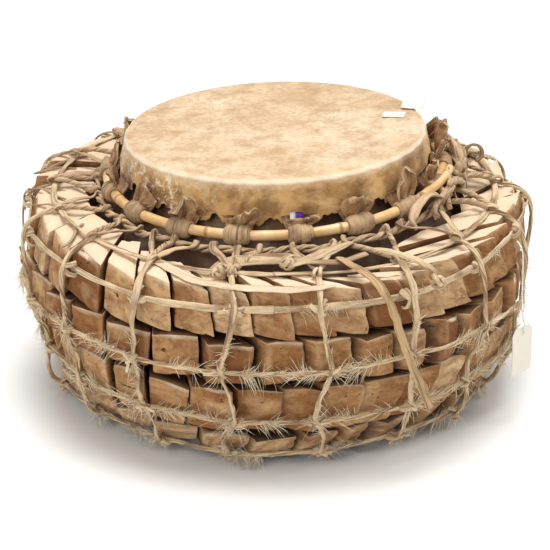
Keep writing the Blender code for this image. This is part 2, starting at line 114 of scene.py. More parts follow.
def settled(points):
    """Points moved up with the first tier's tops, which are lowest at the front."""
    points = np.array(points, float)
    share = np.clip((points[..., 2] - TIER_LOW) / (TIER_HIGH - TIER_LOW), 0, 1)
    back = np.maximum(points[..., 1] - RISE_FROM, 0)
    points[..., 2] += share * TOP_RISE * (1 - np.exp(-back / RISE_OVER))
    return points


def beside_hoop(bearing, out=0.0, up=0.0):
    """Points beside the hoop's centre line, this far outwards and upwards."""
    centre = raised(at(bearing, HOOP_RADIUS, HOOP_HEIGHT), HOOP_SLOPE)
    return centre + at(bearing, out, up)


def beside_mouth_ring(bearing, out=0.0, up=0.0):
    centre = at(bearing, MOUTH_RING_RADIUS, HOOP_HEIGHT - MOUTH_RING_DROP)
    return raised(centre, HOOP_SLOPE) + at(bearing, out, up)


def unit(vectors):
    return vectors / np.maximum(np.linalg.norm(vectors, axis=-1, keepdims=True), 1e-12)


def outward(points):
    """Level directions away from the drum's axis."""
    return unit(points * LEVEL)


def sideways(out):
    """The level direction a quarter turn from this one."""
    return np.array([-out[1], out[0], 0.0])


def columns_of(angle):
    """The cosine and the sine of each angle, as columns that multiply a direction."""
    return np.cos(angle)[:, None], np.sin(angle)[:, None]


def lengths_along(path):
    """How far along the path each of its points is."""
    return np.concatenate([[0], np.cumsum(np.linalg.norm(np.diff(path, axis=0), axis=1))])


def tangents(path, closed=False):
    if closed:
        return unit(np.roll(path, -1, 0) - np.roll(path, 1, 0))
    return unit(np.gradient(path, axis=0))


def curve_through(points, spacing=0.002):
    """A smooth curve through the points, sampled about this far apart."""
    points = np.array(points, float)
    ends = np.vstack([2 * points[0] - points[1], points, 2 * points[-1] - points[-2]])
    made = []
    for a, b, c, d in zip(ends, ends[1:], ends[2:], ends[3:]):
        steps = max(2, int(np.linalg.norm(c - b) / spacing))
        t = (np.arange(steps) / steps)[:, None]
        made.append(
            0.5 * (2 * b + (c - a) * t + (2 * a - 5 * b + 4 * c - d) * t**2
                   + (3 * b - a - 3 * c + d) * t**3)
        )
    return np.vstack([*made, points[-1:]])


def wander(count, step, seed):
    """Smooth noise along a line of samples, about -1 to 1."""
    return np.array([
        noise.fractal(Vector((i * step, seed * 7.31, seed * 3.7)), 0.6, 2.0, 2)
        for i in range(count)
    ])


def bumps(points):
    """Smooth noise at each point, about -1 to 1."""
    return np.array([noise.fractal(Vector(p), 0.7, 2.0, 3) for p in points])


def bumps_round(points, steps):
    """Noise round a closed ring, worked out at these points and filled in between them."""
    known = np.arange(0, steps, steps // len(points))
    return np.interp(np.arange(steps), known, bumps(points), period=steps)


# --- Meshes -------------------------------------------------------------------------------------
class Pile:
    """The parts of one piece, with each point's grain coordinates and tone."""

    def __init__(self):
        self.points, self.faces = [], {3: [], 4: []}
        self.grain, self.tone, self.wear = [], [], []
        self.count = 0

    def add(self, points, quads=(), tris=(), grain=None, tone=0.5, wear=0.0):
        points = np.asarray(points, float).reshape(-1, 3)
        for sides, faces in ((4, quads), (3, tris)):
            if len(faces):
                self.faces[sides].append(np.asarray(faces, int).reshape(-1, sides) + self.count)
        self.points.append(points)
        self.grain.append(points if grain is None else np.asarray(grain, float).reshape(-1, 3))
        self.tone.append(np.broadcast_to(np.asarray(tone, float), len(points)))
        self.wear.append(np.broadcast_to(np.asarray(wear, float), len(points)))
        self.count += len(points)

    def build(self, name, look, body, nodes=()):
        mesh = bpy.data.meshes.new(name)
        points = np.concatenate(self.points)
        quads = np.concatenate(self.faces[4]) if self.faces[4] else np.zeros((0, 4), int)
        tris = np.concatenate(self.faces[3]) if self.faces[3] else np.zeros((0, 3), int)
        mesh.vertices.add(len(points))
        mesh.vertices.foreach_set("co", points.ravel())
        corners = np.concatenate([quads.ravel(), tris.ravel()])
        mesh.loops.add(len(corners))
        mesh.loops.foreach_set("vertex_index", corners)
        starts = np.concatenate([np.arange(len(quads)) * 4, quads.size + np.arange(len(tris)) * 3])
        mesh.polygons.add(len(starts))
        mesh.polygons.foreach_set("loop_start", starts)
        mesh.update(calc_edges=True)
        mesh.validate()
        grain = mesh.attributes.new("grain", "FLOAT_VECTOR", "POINT")
        grain.data.foreach_set("vector", np.concatenate(self.grain).ravel())
        for label, values in (("tone", self.tone), ("wear", self.wear)):
            attribute = mesh.attributes.new(label, "FLOAT", "POINT")
            attribute.data.foreach_set("value", np.concatenate(values))
        mesh.shade_smooth()
        mesh.materials.append(look)
        piece = bpy.data.objects.new(name, mesh)
        bpy.context.scene.collection.objects.link(piece)
        if body:
            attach(piece, body)
        if nodes:
            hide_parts(*nodes)
        return piece


def grid_faces(rows, columns, closed=False):
    """Quads of a grid of points, row by row; closed joins the last column to the first."""
    r = np.arange(rows - 1)[:, None]
    c = np.arange(columns if closed else columns - 1)[None, :]
    after = (c + 1) % columns
    quads = (r * columns + c, (r + 1) * columns + c, (r + 1) * columns + after, r * columns + after)
    return np.stack([np.broadcast_to(q, (rows - 1, c.shape[1])) for q in quads], -1).reshape(-1, 4)


def fan(ring, middle, order=1):
    """Triangles from a ring of points to the one in its middle."""
    return np.stack([ring, np.roll(ring, -1), np.full(len(ring), middle)], -1)[:, ::order]


def sweep(pile, path, facing, width, thick, roll=0.0, closed=False, sides=10, tone=0.5,
          shape=0.8, uneven=0.10, seed=0.0):
    """A flattened round strip along the path; facing is the way that its flat side looks."""
    path = np.asarray(path, float)
    count = len(path)
    tangent = tangents(path, closed)
    facing = np.broadcast_to(np.asarray(facing, float), (count, 3))
    across = unit(np.cross(tangent, facing))
    up = np.cross(across, tangent)
    width, thick = (np.broadcast_to(np.asarray(v, float), count) for v in (width, thick))
    cosine, sine = columns_of(np.broadcast_to(np.asarray(roll, float), count))
    across, up = across * cosine + up * sine, up * cosine - across * sine
    angle = np.arange(sides) * 2 * math.pi / sides
    wide = np.sign(np.cos(angle)) * np.abs(np.cos(angle)) ** shape
    high = np.sign(np.sin(angle)) * np.abs(np.sin(angle)) ** shape
    along = lengths_along(path)
    swell = 1 + uneven * np.array([
        [noise.noise(Vector((s * 90 + seed, math.cos(a) * 0.9, math.sin(a) * 0.9 + seed)))
         for a in angle] for s in along
    ])
    flat = wide[None, :, None] * (width / 2)[:, None, None] * across[:, None, :]
    deep = high[None, :, None] * (thick / 2)[:, None, None] * up[:, None, :]
    points = path[:, None, :] + (flat + deep) * swell[..., None]
    grain = np.stack([
        np.broadcast_to(along[:, None], swell.shape),
        wide[None, :] * (width / 2)[:, None], high[None, :] * (thick / 2)[:, None],
    ], -1) + np.array([seed, 0, 0])
    quads = grid_faces(count + 1 if closed else count, sides, closed=True)
    tris = []
    points, grain = points.reshape(-1, 3), grain.reshape(-1, 3)
    if closed:
        quads = quads % (count * sides)
    else:
        for row, order in ((0, -1), (count - 1, 1)):
            middle = len(points)
            points = np.vstack([points, path[row]])
            grain = np.vstack([grain, grain[row * sides]])
            tris.append(fan(row * sides + np.arange(sides), middle, order))
        tris = np.concatenate(tris)
    pile.add(points, quads[:, ::-1], tris, grain=grain, tone=tone)


def taper(count, ends=0.3, over=6):
    """1 along a strip, falling to a share of it over the last few points at each end."""
    index = np.arange(count)
    near = np.minimum(index, index[::-1]) / over
    return ends + (1 - ends) * np.sin(np.clip(near, 0, 1) * math.pi / 2)


def hair(pile, roots, ways, lengths):
    """Thin tapered bristles, one from each root, that bend a little on their way."""
    roots, ways = np.asarray(roots, float), unit(np.asarray(ways, float))
    lengths = np.asarray(lengths, float)[:, None]
    side = unit(np.cross(ways, unit(chance.normal(size=ways.shape))))
    other = np.cross(side, ways)
    bend = side * chance.uniform(-0.35, 0.35, (len(roots), 1)) + -UP * HAIR_DROOP
    steps, sides = 3, 3
    points = []
    for step in range(steps):
        t = step / steps
        centre = roots + ways * lengths * t + bend * lengths * t * t
        for corner in range(sides):
            a = corner * 2 * math.pi / sides
            offset = side * math.cos(a) + other * math.sin(a)
            points.append(centre + offset * HAIR_RADIUS * (1 - 0.5 * t))
    points.append(roots + ways * lengths + bend * lengths)
    per = steps * sides + 1
    points = np.stack(points, 1)
    points[..., 2] = np.maximum(points[..., 2], HAIR_CLEARANCE)
    base = (np.arange(len(roots)) * per)[:, None, None]
    quads = [
        (s * sides + c, s * sides + (c + 1) % sides, (s + 1) * sides + (c + 1) % sides,
         (s + 1) * sides + c)
        for s in range(steps - 1) for c in range(sides)
    ]
    top = (steps - 1) * sides
    tris = [(top + c, top + (c + 1) % sides, per - 1) for c in range(sides)] + [(2, 1, 0)]
    tone = np.repeat(chance.uniform(0.1, 1.0, len(roots)), per)
    pile.add(points.reshape(-1, 3), (base + np.array(quads)).reshape(-1, 4),
             (base + np.array(tris)).reshape(-1, 3), tone=tone)


# --- Materials ----------------------------------------------------------------------------------
def srgb(red, green, blue):
    """A colour from its 0-255 display values."""
    linear = [(c / 255 / 12.92) if c <= 10 else ((c / 255 + 0.055) / 1.055) ** 2.4
              for c in (red, green, blue)]
    return (*linear, 1.0)


class Graph:
    """A material's nodes, with short calls for the ones used here."""

    def __init__(self, name, roughness=0.7, specular=0.3, **sockets):
        self.material = bpy.data.materials.new(name)
        self.material.use_nodes = True
        self.tree = self.material.node_tree
        self.shader = self.tree.nodes["Principled BSDF"]
        self.shader.inputs["Roughness"].default_value = roughness
        self.shader.inputs["Specular IOR Level"].default_value = specular
        for label, value in sockets.items():
            self.shader.inputs[label.replace("_", " ")].default_value = value

    def node(self, kind, inputs=None, **settings):
        made = self.tree.nodes.new(kind)
        for label, value in settings.items():
            setattr(made, label, value)
        for label, value in (inputs or {}).items():
            if hasattr(value, "is_linked"):
                self.tree.links.new(value, made.inputs[label])
            else:
                made.inputs[label].default_value = value
        return made

    def attribute(self, name, output="Fac"):
        return self.node("ShaderNodeAttribute", attribute_name=name).outputs[output]

    def place(self):
        return self.node("ShaderNodeNewGeometry").outputs["Position"]

    def stretch(self, vector, scale, location=(0, 0, 0)):
        made = self.node("ShaderNodeMapping", {"Vector": vector})
        made.inputs["Scale"].default_value = scale
        made.inputs["Location"].default_value = location
        return made.outputs["Vector"]

    def noise(self, vector, scale, detail=4.0, roughness=0.6, distortion=0.0):
        return self.node("ShaderNodeTexNoise", {
            "Vector": vector, "Scale": scale, "Detail": detail, "Roughness": roughness,
            "Distortion": distortion}).outputs["Fac"]

    def cells(self, vector, scale):
        made = self.node("ShaderNodeTexVoronoi", {"Vector": vector, "Scale": scale})
        return made.outputs["Distance"]

    def ramp(self, value, *stops):
        """A colour ramp; a stop is (position, colour) or (position, grey value)."""
        made = self.node("ShaderNodeValToRGB", {"Fac": value})
        elements = made.color_ramp.elements
        while len(elements) < len(stops):
            elements.new(0.5)
        for element, (position, colour) in zip(elements, stops):
            element.position = position
            grey = isinstance(colour, (int, float))
            element.color = (colour, colour, colour, 1) if grey else colour
        return made.outputs["Color"]

    def mix(self, share, first, second):
        """The first colour where the share is 0, the second where it is 1."""
        inputs = {0: share, 6: first, 7: second}
        return self.node("ShaderNodeMix", inputs, data_type="RGBA").outputs[2]

    def stain(self, base, value, start, end, colour):
        """The base with a colour over it; start and end are (value, share of the colour)."""
        return self.mix(self.ramp(value, start, end), base, srgb(*colour))

    def math(self, operation, *values):
        return self.node("ShaderNodeMath", dict(enumerate(values)), operation=operation).outputs[0]

    def upward(self):
        normal = self.node("ShaderNodeNewGeometry").outputs["Normal"]
        return self.node("ShaderNodeSeparateXYZ", {"Vector": normal}).outputs["Z"]

    def finish(self, colour, height=None, strength=0.4, depth=0.001):
        self.tree.links.new(colour, self.shader.inputs["Base Color"])
        if height is not None:
            bump = self.node("ShaderNodeBump", {
                "Height": height, "Strength": strength, "Distance": depth})
            self.tree.links.new(bump.outputs["Normal"], self.shader.inputs["Normal"])
        return self.material


def block_wood():
    """Dry sawn softwood: streaks along the grain, a tone of its own for each block, painted shade
    on the flanks and feet and under the tier above, painted light on the tops and upper edges.
    """
    g = Graph("block_wood", roughness=0.82, specular=0.15)
    grain, tone, wear = g.attribute("grain", "Vector"), g.attribute("tone"), g.attribute("wear")
    streaks = g.noise(g.stretch(grain, (18, 170, 170)), 1.0, 5, 0.7, 0.5)
    bands = g.noise(g.stretch(grain, (6, 48, 48)), 1.0, 3, 0.55, 0.9)
    blotch = g.noise(grain, 34.0, 5, 0.62)
    stain = g.noise(grain, 85.0, 4, 0.6, 0.5)
    base = g.ramp(tone, (0.0, srgb(132, 88, 52)), (0.3, srgb(164, 118, 72)),
                  (0.62, srgb(188, 146, 100)), (1.0, srgb(214, 180, 138)))
    base = g.stain(base, bands, (0.38, 0.0), (0.62, 0.65), (132, 82, 44))
    base = g.stain(base, streaks, (0.44, 0.0), (0.68, 0.7), (104, 68, 42))
    base = g.stain(base, blotch, (0.50, 0.0), (0.72, 0.55), (210, 178, 132))
    base = g.stain(base, stain, (0.60, 0.0), (0.76, 0.5), (110, 72, 44))
    cracks = g.noise(g.stretch(grain, (11, 190, 190), (0.3, 0, 0)), 1.0, 2, 0.5, 0.3)
    crack = g.ramp(cracks, (0.69, 0.0), (0.74, 0.85))
    base = g.mix(crack, base, srgb(56, 34, 22))
    speck = g.ramp(g.cells(g.stretch(grain, (120, 300, 300)), 1.0), (0.05, 0.55), (0.15, 0.0))
    base = g.mix(speck, base, srgb(92, 60, 38))
    # Upward faces are paler: dust, together with painted light from above. It is taken off where
    # the painted shade between blocks and under the tier above lies.
    dust_and_top_light = g.ramp(g.upward(), (0.30, 0.0), (0.75, 0.78))
    dust_and_top_light = g.mix(g.ramp(wear, (0.22, 1.0), (0.48, 0.0)), dust_and_top_light, (0, 0, 0, 1))
    base = g.mix(dust_and_top_light, base, srgb(236, 213, 183))
    # Paler on the upper edges: rubbed wood, and a painted highlight.
    base = g.stain(base, wear, (0.55, 0.0), (1.0, 0.45), (216, 188, 152))
    # Dark where the mask is low: painted shade between the blocks, on their undersides and feet,
    # and under the tier above.
    base = g.stain(base, wear, (0.0, 0.92), (0.45, 0.0), (58, 36, 24))
    height = g.mix(crack, g.mix(0.5, streaks, stain), (0, 0, 0, 1))
    return g.finish(base, height, 0.8, 0.0016)


def dark_wood():
    g = Graph("shell_wood", roughness=0.72, specular=0.25)
    place = g.place()
    streaks = g.noise(g.stretch(place, (60, 60, 9)), 1.0, 5, 0.65, 0.6)
    blotch = g.noise(place, 18.0, 4, 0.6)
    base = g.ramp(streaks, (0.25, srgb(64, 42, 30)), (0.55, srgb(104, 76, 56)),
                  (0.8, srgb(138, 108, 84)))
    base = g.stain(base, blotch, (0.52, 0.0), (0.72, 0.55), (172, 156, 136))
    return g.finish(base, streaks, 0.5, 0.0012)


def drum_skin():
    """Scraped hide: cream and mottled on top, browner on the skirt, with fine scratches."""
    g = Graph("drum_skin", roughness=0.52, specular=0.35, Sheen_Weight=0.08,
              Subsurface_Weight=0.08, Subsurface_Radius=(0.006, 0.003, 0.0015))
    place = g.place()
    side = g.attribute("wear")  # 0 on the flat top, 1 at the bottom of the skirt
    broad = g.noise(place, 9.0, 5, 0.6, 0.3)
    middle = g.noise(place, 38.0, 5, 0.65, 0.2)
    fine = g.noise(place, 210.0, 4, 0.7)
    top = g.ramp(broad, (0.30, srgb(192, 158, 118)), (0.45, srgb(218, 190, 153)),
                 (0.60, srgb(231, 210, 178)), (0.78, srgb(208, 176, 134)))
    top = g.stain(top, middle, (0.44, 0.0), (0.66, 0.62), (166, 124, 80))
    top = g.stain(top, fine, (0.38, 0.5), (0.58, 0.0), (176, 138, 96))
    freckles = g.ramp(g.cells(place, 150.0), (0.05, 0.45), (0.13, 0.0))
    top = g.mix(g.math("MULTIPLY", freckles, broad), top, srgb(140, 100, 62))
    skirt = g.ramp(broad, (0.32, srgb(160, 114, 64)), (0.5, srgb(198, 154, 96)),
                   (0.72, srgb(222, 186, 130)))
    skirt = g.stain(skirt, middle, (0.43, 0.0), (0.63, 0.8), (116, 77, 36))
    soil = g.noise(g.stretch(place, (14, 14, 26)), 1.0, 4, 0.6, 0.4)
    skirt = g.stain(skirt, soil, (0.50, 0.0), (0.66, 0.6), (226, 190, 132))
    flakes = g.ramp(g.noise(place, 95.0, 5, 0.75, 1.2), (0.51, 0.0), (0.58, 0.8))
    left = g.node("ShaderNodeSeparateXYZ", {"Vector": place}).outputs["X"]
    flaked = g.math("MULTIPLY", flakes, g.ramp(
        g.math("MULTIPLY_ADD", left, -8.0, 0.0), (0.40, 0.0), (0.75, 1.0)))
    skirt = g.mix(flaked, skirt, srgb(228, 214, 188))
    scratches = g.noise(g.stretch(place, (30, 30, 420)), 1.0, 3, 0.6, 1.5)
    skirt = g.stain(skirt, scratches, (0.62, 0.0), (0.72, 0.5), (226, 204, 164))
    base = g.mix(g.ramp(side, (0.10, 0.0), (0.30, 1.0)), top, skirt)
    edge = g.ramp(side, (0.03, 0.0), (0.09, 0.75), (0.16, 0.0))
    base = g.mix(edge, base, srgb(246, 232, 206))
    height = g.mix(0.4, middle, fine)
    return g.finish(base, height, 0.22, 0.0008)


def tab_skin():
    g = Graph("tab_skin", roughness=0.7, specular=0.25, Sheen_Weight=0.1)
    grain = g.attribute("grain", "Vector")
    broad = g.noise(grain, 70.0, 5, 0.65, 0.5)
    wrinkles = g.noise(g.stretch(grain, (60, 320, 320)), 1.0, 4, 0.65, 0.6)
    base = g.ramp(broad, (0.34, srgb(116, 80, 50)), (0.50, srgb(158, 120, 80)),
                  (0.68, srgb(196, 162, 118)))
    base = g.stain(base, wrinkles, (0.46, 0.0), (0.66, 0.7), (92, 64, 42))
    base = g.stain(base, g.attribute("wear"), (0.2, 0.0), (1.0, 0.75), (226, 200, 160))
    return g.finish(base, wrinkles, 0.7, 0.0012)


def cane_look():
    g = Graph("cane", roughness=0.38, specular=0.45, Coat_Weight=0.12, Coat_Roughness=0.3)
    grain = g.attribute("grain", "Vector")
    tone = g.attribute("tone")
    fibres = g.noise(g.stretch(grain, (10, 900, 900)), 1.0, 4, 0.6, 0.2)
    broad = g.noise(g.stretch(grain, (26, 60, 60)), 1.0, 4, 0.6)
    base = g.ramp(broad, (0.3, srgb(196, 148, 92)), (0.5, srgb(220, 182, 126)),
                  (0.72, srgb(236, 208, 160)))
    base = g.stain(base, fibres, (0.45, 0.0), (0.7, 0.35), (190, 140, 84))
    base = g.stain(base, tone, (0.55, 0.0), (0.9, 0.85), (150, 104, 62))
    return g.finish(base, fibres, 0.15, 0.0004)


def hide(name, dark, middle, pale, hairy=0.35, roughness=0.72):
    """Dry hide cut in strips: fibres along the strip, with darker hairy patches."""
    g = Graph(name, roughness=roughness, specular=0.3, Sheen_Weight=0.12)
    grain = g.attribute("grain", "Vector")
    tone = g.attribute("tone")
    fibres = g.noise(g.stretch(grain, (30, 650, 650)), 1.0, 5, 0.65, 0.3)
    patches = g.noise(g.stretch(grain, (22, 70, 70)), 1.0, 4, 0.6, 0.4)
    base = g.ramp(fibres, (0.28, middle), (0.52, pale), (0.78, middle))
    base = g.mix(g.ramp(patches, (0.50, 0.0), (0.66, hairy)), base, dark)
    base = g.mix(g.ramp(tone, (0.0, 0.55), (0.5, 0.0)), base, dark)
    base = g.mix(g.ramp(tone, (0.5, 0.0), (1.0, 0.6)), base, pale)
    creases = g.noise(g.stretch(grain, (13, 330, 330), (0.7, 0, 0)), 1.0, 3, 0.6)
    crease = g.ramp(creases, (0.54, 0.0), (0.64, 0.75))
    base = g.mix(crease, base, dark)
    return g.finish(base, g.mix(crease, fibres, (0, 0, 0, 1)), 0.8, 0.0012)


def hair_look():
    g = Graph("hide_hair", roughness=0.6, specular=0.3)
    base = g.ramp(g.attribute("tone"), (0.1, srgb(206, 180, 138)), (0.5, srgb(234, 216, 180)),
                  (0.9, srgb(250, 240, 216)))
    return g.finish(base)


def paper_look(name, colour):
    g = Graph(name, roughness=0.62, specular=0.3)
    base = g.ramp(g.noise(g.place(), 160.0, 4, 0.6), (0.3, colour),
                  (0.75, tuple(min(1.0, c * 1.06) for c in colour[:3]) + (1.0,)))
    return g.finish(base, g.noise(g.place(), 900.0, 2, 0.5), 0.12, 0.0002)


def string_look():
    g = Graph("string", roughness=0.85, specular=0.2, Sheen_Weight=0.2)
    grain = g.attribute("grain", "Vector")
    twist = g.noise(g.stretch(grain, (500, 900, 900)), 1.0, 3, 0.5)
    return g.finish(g.ramp(twist, (0.3, srgb(206, 200, 190)), (0.6, srgb(244, 242, 236))),
                    twist, 0.5, 0.0004)


def ribbon_look():
    g = Graph("ribbon", roughness=0.4, specular=0.5)
    share = g.noise(g.stretch(g.place(), (90, 90, 30)), 1.0, 1, 0.4)
    return g.finish(g.ramp(share, (0.50, srgb(104, 44, 150)), (0.56, srgb(232, 230, 240))))


WOOD, SHELL_WOOD, HEAD_SKIN, TAB_SKIN = block_wood(), dark_wood(), drum_skin(), tab_skin()
CANE_LOOK, HAIR = cane_look(), hair_look()
RAWHIDE = hide("rawhide", srgb(122, 86, 54), srgb(178, 144, 104), srgb(222, 198, 160), 0.8)
STRAP_HIDE = hide("strap_hide", srgb(98, 68, 40), srgb(154, 118, 78), srgb(200, 166, 120), 0.8)
PALE_HIDE = hide("pale_hide", srgb(176, 144, 108), srgb(206, 178, 144), srgb(226, 204, 174), 0.3)
LACE = hide("lace", srgb(96, 66, 42), srgb(156, 120, 84), srgb(210, 180, 142), 0.75)
BINDING = hide("binding", srgb(88, 60, 40), srgb(144, 110, 78), srgb(192, 160, 120), 0.6, 0.45)
PAPER, STRING = paper_look("paper", srgb(232, 225, 210)), string_look()
RIBBON = ribbon_look()


# --- Blocks -------------------------------------------------------------------------------------
BAR_REACH = 0.0045  # the bar's points are no further than this from its middle height


def block_corners(node):
    """The eight corners of each block in a CAD node, as arrays indexed [right][in][up]."""
    mesh = node.data
    points = np.array([v.co for v in mesh.vertices])
    bar = np.median(points[:, 2])  # a bar joins the blocks at this height
    merged, index = np.unique(np.round(points, 5), axis=0, return_inverse=True)
    index = index.reshape(-1)
    kept = np.abs(merged[:, 2] - bar) > BAR_REACH
    group = np.arange(len(merged))

    def root(i):
        while group[i] != i:
            group[i] = group[group[i]]
            i = group[i]
        return i

    for a, b in mesh.edge_keys:
        a, b = index[a], index[b]
        if kept[a] and kept[b]:
            group[root(a)] = root(b)
    found = {}
    for i in np.nonzero(kept)[0]:
        found.setdefault(root(i), []).append(merged[i])
    blocks = []
    for corners in found.values():
        corners = np.array(corners)
        if len(corners) != 8:
            continue
        corners = corners[np.argsort(corners[:, 2])]
        made = np.zeros((2, 2, 2, 3))
        for up, layer in enumerate((corners[:4], corners[4:])):
            layer = layer[np.argsort(-np.hypot(layer[:, 0], layer[:, 1]))]
            for inward, pair in enumerate((layer[:2], layer[2:])):
                middle_bearing = math.atan2(pair[:, 0].sum(), -pair[:, 1].sum())
                lean = [math.sin(math.atan2(p[0], -p[1]) - middle_bearing) for p in pair]
                pair = pair[np.argsort(lean)]
                made[0, inward, up], made[1, inward, up] = pair
        blocks.append(made)
    return blocks


def lattice_face_quads(shape):
    """Point numbers and outward quads of the surface of a lattice with this many points a side."""
    last = [side - 1 for side in shape]
    places = [place for place in product(*map(range, shape))
              if any(p in (0, end) for p, end in zip(place, last))]
    number = {place: index for index, place in enumerate(places)}
    quads = []
    for axis in range(3):
        a, b = (axis + 1) % 3, (axis + 2) % 3
        for end, u, v in product((0, last[axis]), range(last[a]), range(last[b])):
            corners = []
            for du, dv in ((0, 0), (1, 0), (1, 1), (0, 1)):
                place = [0, 0, 0]
                place[axis], place[a], place[b] = end, u + du, v + dv
                corners.append(number[tuple(place)])
            quads.append(corners if end else corners[::-1])
    return np.array(places), np.array(quads)


CELLS = (12, 12, 12)
PLACES, QUADS = lattice_face_quads(CELLS)


def spread(count, length, edge):
    """Places along a side, 0 to 1, crowded towards its two rounded edges."""
    near = min(edge / length, 0.2)
    inner = np.linspace(near, 1 - near, count - 4)
    return np.concatenate([[0, near * 0.35], inner, [1 - near * 0.35, 1]])


def rounded(local, size, edge, top_edge):
    """Points on a box's surface, moved to round its edges; the outer top edge is rounder."""
    inside = np.clip(local, edge, size - edge)
    away = local - inside
    made = inside + unit(away) * edge
    # The outer top edge: depth near 0 and height near the top.
    gap = np.stack([top_edge - made[:, 1], top_edge - (size[2] - made[:, 2])], -1)
    reach = np.linalg.norm(gap, axis=1)
    over = (gap[:, 0] > 0) & (gap[:, 1] > 0) & (reach > top_edge)
    pulled = gap[over] * (top_edge / reach[over])[:, None]
    made[over, 1] = top_edge - pulled[:, 0]
    made[over, 2] = size[2] - top_edge + pulled[:, 1]
    return made, unit(away)


# How each tier's blocks differ. Ranges, in metres: the worn edges' radius, the outer top edge's,
# how far the top drops to its ends, how far the bottom rises; then the wood's tone and the painted
# shade at its foot.
Tier = namedtuple("Tier", "edge top_edge arch foot tone dirt")
TIERS = (
    Tier((0.0010, 0.0021), (0.002, 0.006), (0.0, 0.0035), (0.0, 0.0022), 0.56, 0.20),
    Tier((0.0015, 0.0031), (0.004, 0.009), (0.0, 0.0035), (0.0, 0.0022), 0.42, 0.26),
    Tier((0.0015, 0.0031), (0.006, 0.014), (0.001, 0.008), (0.0, 0.004), 0.54, 0.08),
    Tier((0.0015, 0.0031), (0.006, 0.012), (0.001, 0.008), (0.0, 0.004), 0.74, 0.0),
)
TONE_SPREAD = 0.28
BOW = (0.0008, 0.0026)  # how far the sawn ends stand out
BOW_DEPTH = 0.030  # the shape of the outer face fades out over this depth
WAIST = 0.0014
CHIP_FROM, CHIP_DEPTH = 0.16, 0.004
BURIED_DEPTH = 0.022  # the painted shade on the flanks is darkest from here inwards


def roughened(made, out, at_edge, seed):
    """Small dents all over, and chips out of the edges."""
    dents = np.array([
        (noise.fractal(Vector(p * 45 + seed), 0.7, 2.0, 3),
         noise.noise(Vector(p * 260 + seed)),
         noise.noise(Vector(p * 120 - seed)))
        for p in made
    ])
    chips = np.where(at_edge, np.maximum(dents[:, 2] - CHIP_FROM, 0) * CHIP_DEPTH, 0)
    swell = np.minimum(0.0012 * dents[:, 0] + 0.0002 * dents[:, 1], 0.0003)
    return made + out * (swell - chips)[:, None]


def hewn(made, size, kind):
    """Sawn ends bow outwards, and the lower tiers' tops are cut to a curve."""
    across, height = made[:, 0] / size[0] * 2 - 1, made[:, 2] / size[2] * 2 - 1
    front = np.clip(1 - made[:, 1] / BOW_DEPTH, 0, 1)
    made[:, 1] += chance.uniform(*BOW) * (0.6 * across**2 + 0.4 * height**2) * front
    arch = chance.uniform(*kind.arch)
    lean = chance.uniform(-0.8, 0.8) * 0.4
    made[:, 2] -= arch * front * np.clip(height, 0, 1) * (across - lean) ** 2 / 1.5
    foot = chance.uniform(*kind.foot)
    made[:, 2] += foot * front * np.clip(-height, 0, 1) * (across + lean) ** 2
    left, right = chance.uniform(0.0, WAIST, 2)
    pinch = left * np.clip(-across, 0, 1) - right * np.clip(across, 0, 1)
    made[:, 0] += pinch * (1 + chance.uniform(-0.6, 0.6) * height)
    return made


def fitted(share, corners):
    """Places in the unit cube, carried to the same places between eight corners."""
    placed = np.zeros_like(share)
    for i, j, k in product((0, 1), repeat=3):
        weight = np.ones(len(share))
        for axis, end in enumerate((i, j, k)):
            weight = weight * (share[:, axis] if end else 1 - share[:, axis])
        placed += weight[:, None] * corners[i, j, k]
    return placed


def block_wear_and_painted_light(made, size, at_edge, tier):
    """1 on rubbed upper edges, which also carry a painted highlight; 0.5 on plain faces; 0 deep
    between the blocks, where shade is painted, as it is on the undersides, the feet and under the
    tier above.
    """
    top, bottom = PLACES[:, 2] == CELLS[2] - 1, PLACES[:, 2] == 0
    flank = (PLACES[:, 0] == 0) | (PLACES[:, 0] == CELLS[0] - 1) | bottom
    # Painted shade on the flanks and undersides, darkest deep between the blocks.
    buried = np.clip(made[:, 1] / BURIED_DEPTH, 0, 1) * flank
    # Painted shade on the undersides and towards the foot of the outer face.
    under = np.where(bottom, 0.3, 0.0) + TIERS[tier - 1].dirt * np.clip(
        0.45 - made[:, 2] / size[2], 0, 1)
    if tier > 1:  # painted shadow of the tier above: its top is darker and loses the pale dust and top light
        under = under + 0.55 * top * np.clip((made[:, 1] + 0.003) / 0.008, 0, 1)
    # Painted highlight on the upper edges, where they are also rubbed.
    rim = at_edge & (PLACES[:, 2] > 2)
    wear = 0.5 + 0.5 * rim * chance.uniform(0.1, 0.6) - 0.46 * buried - under
    return np.clip(wear, 0, 1)


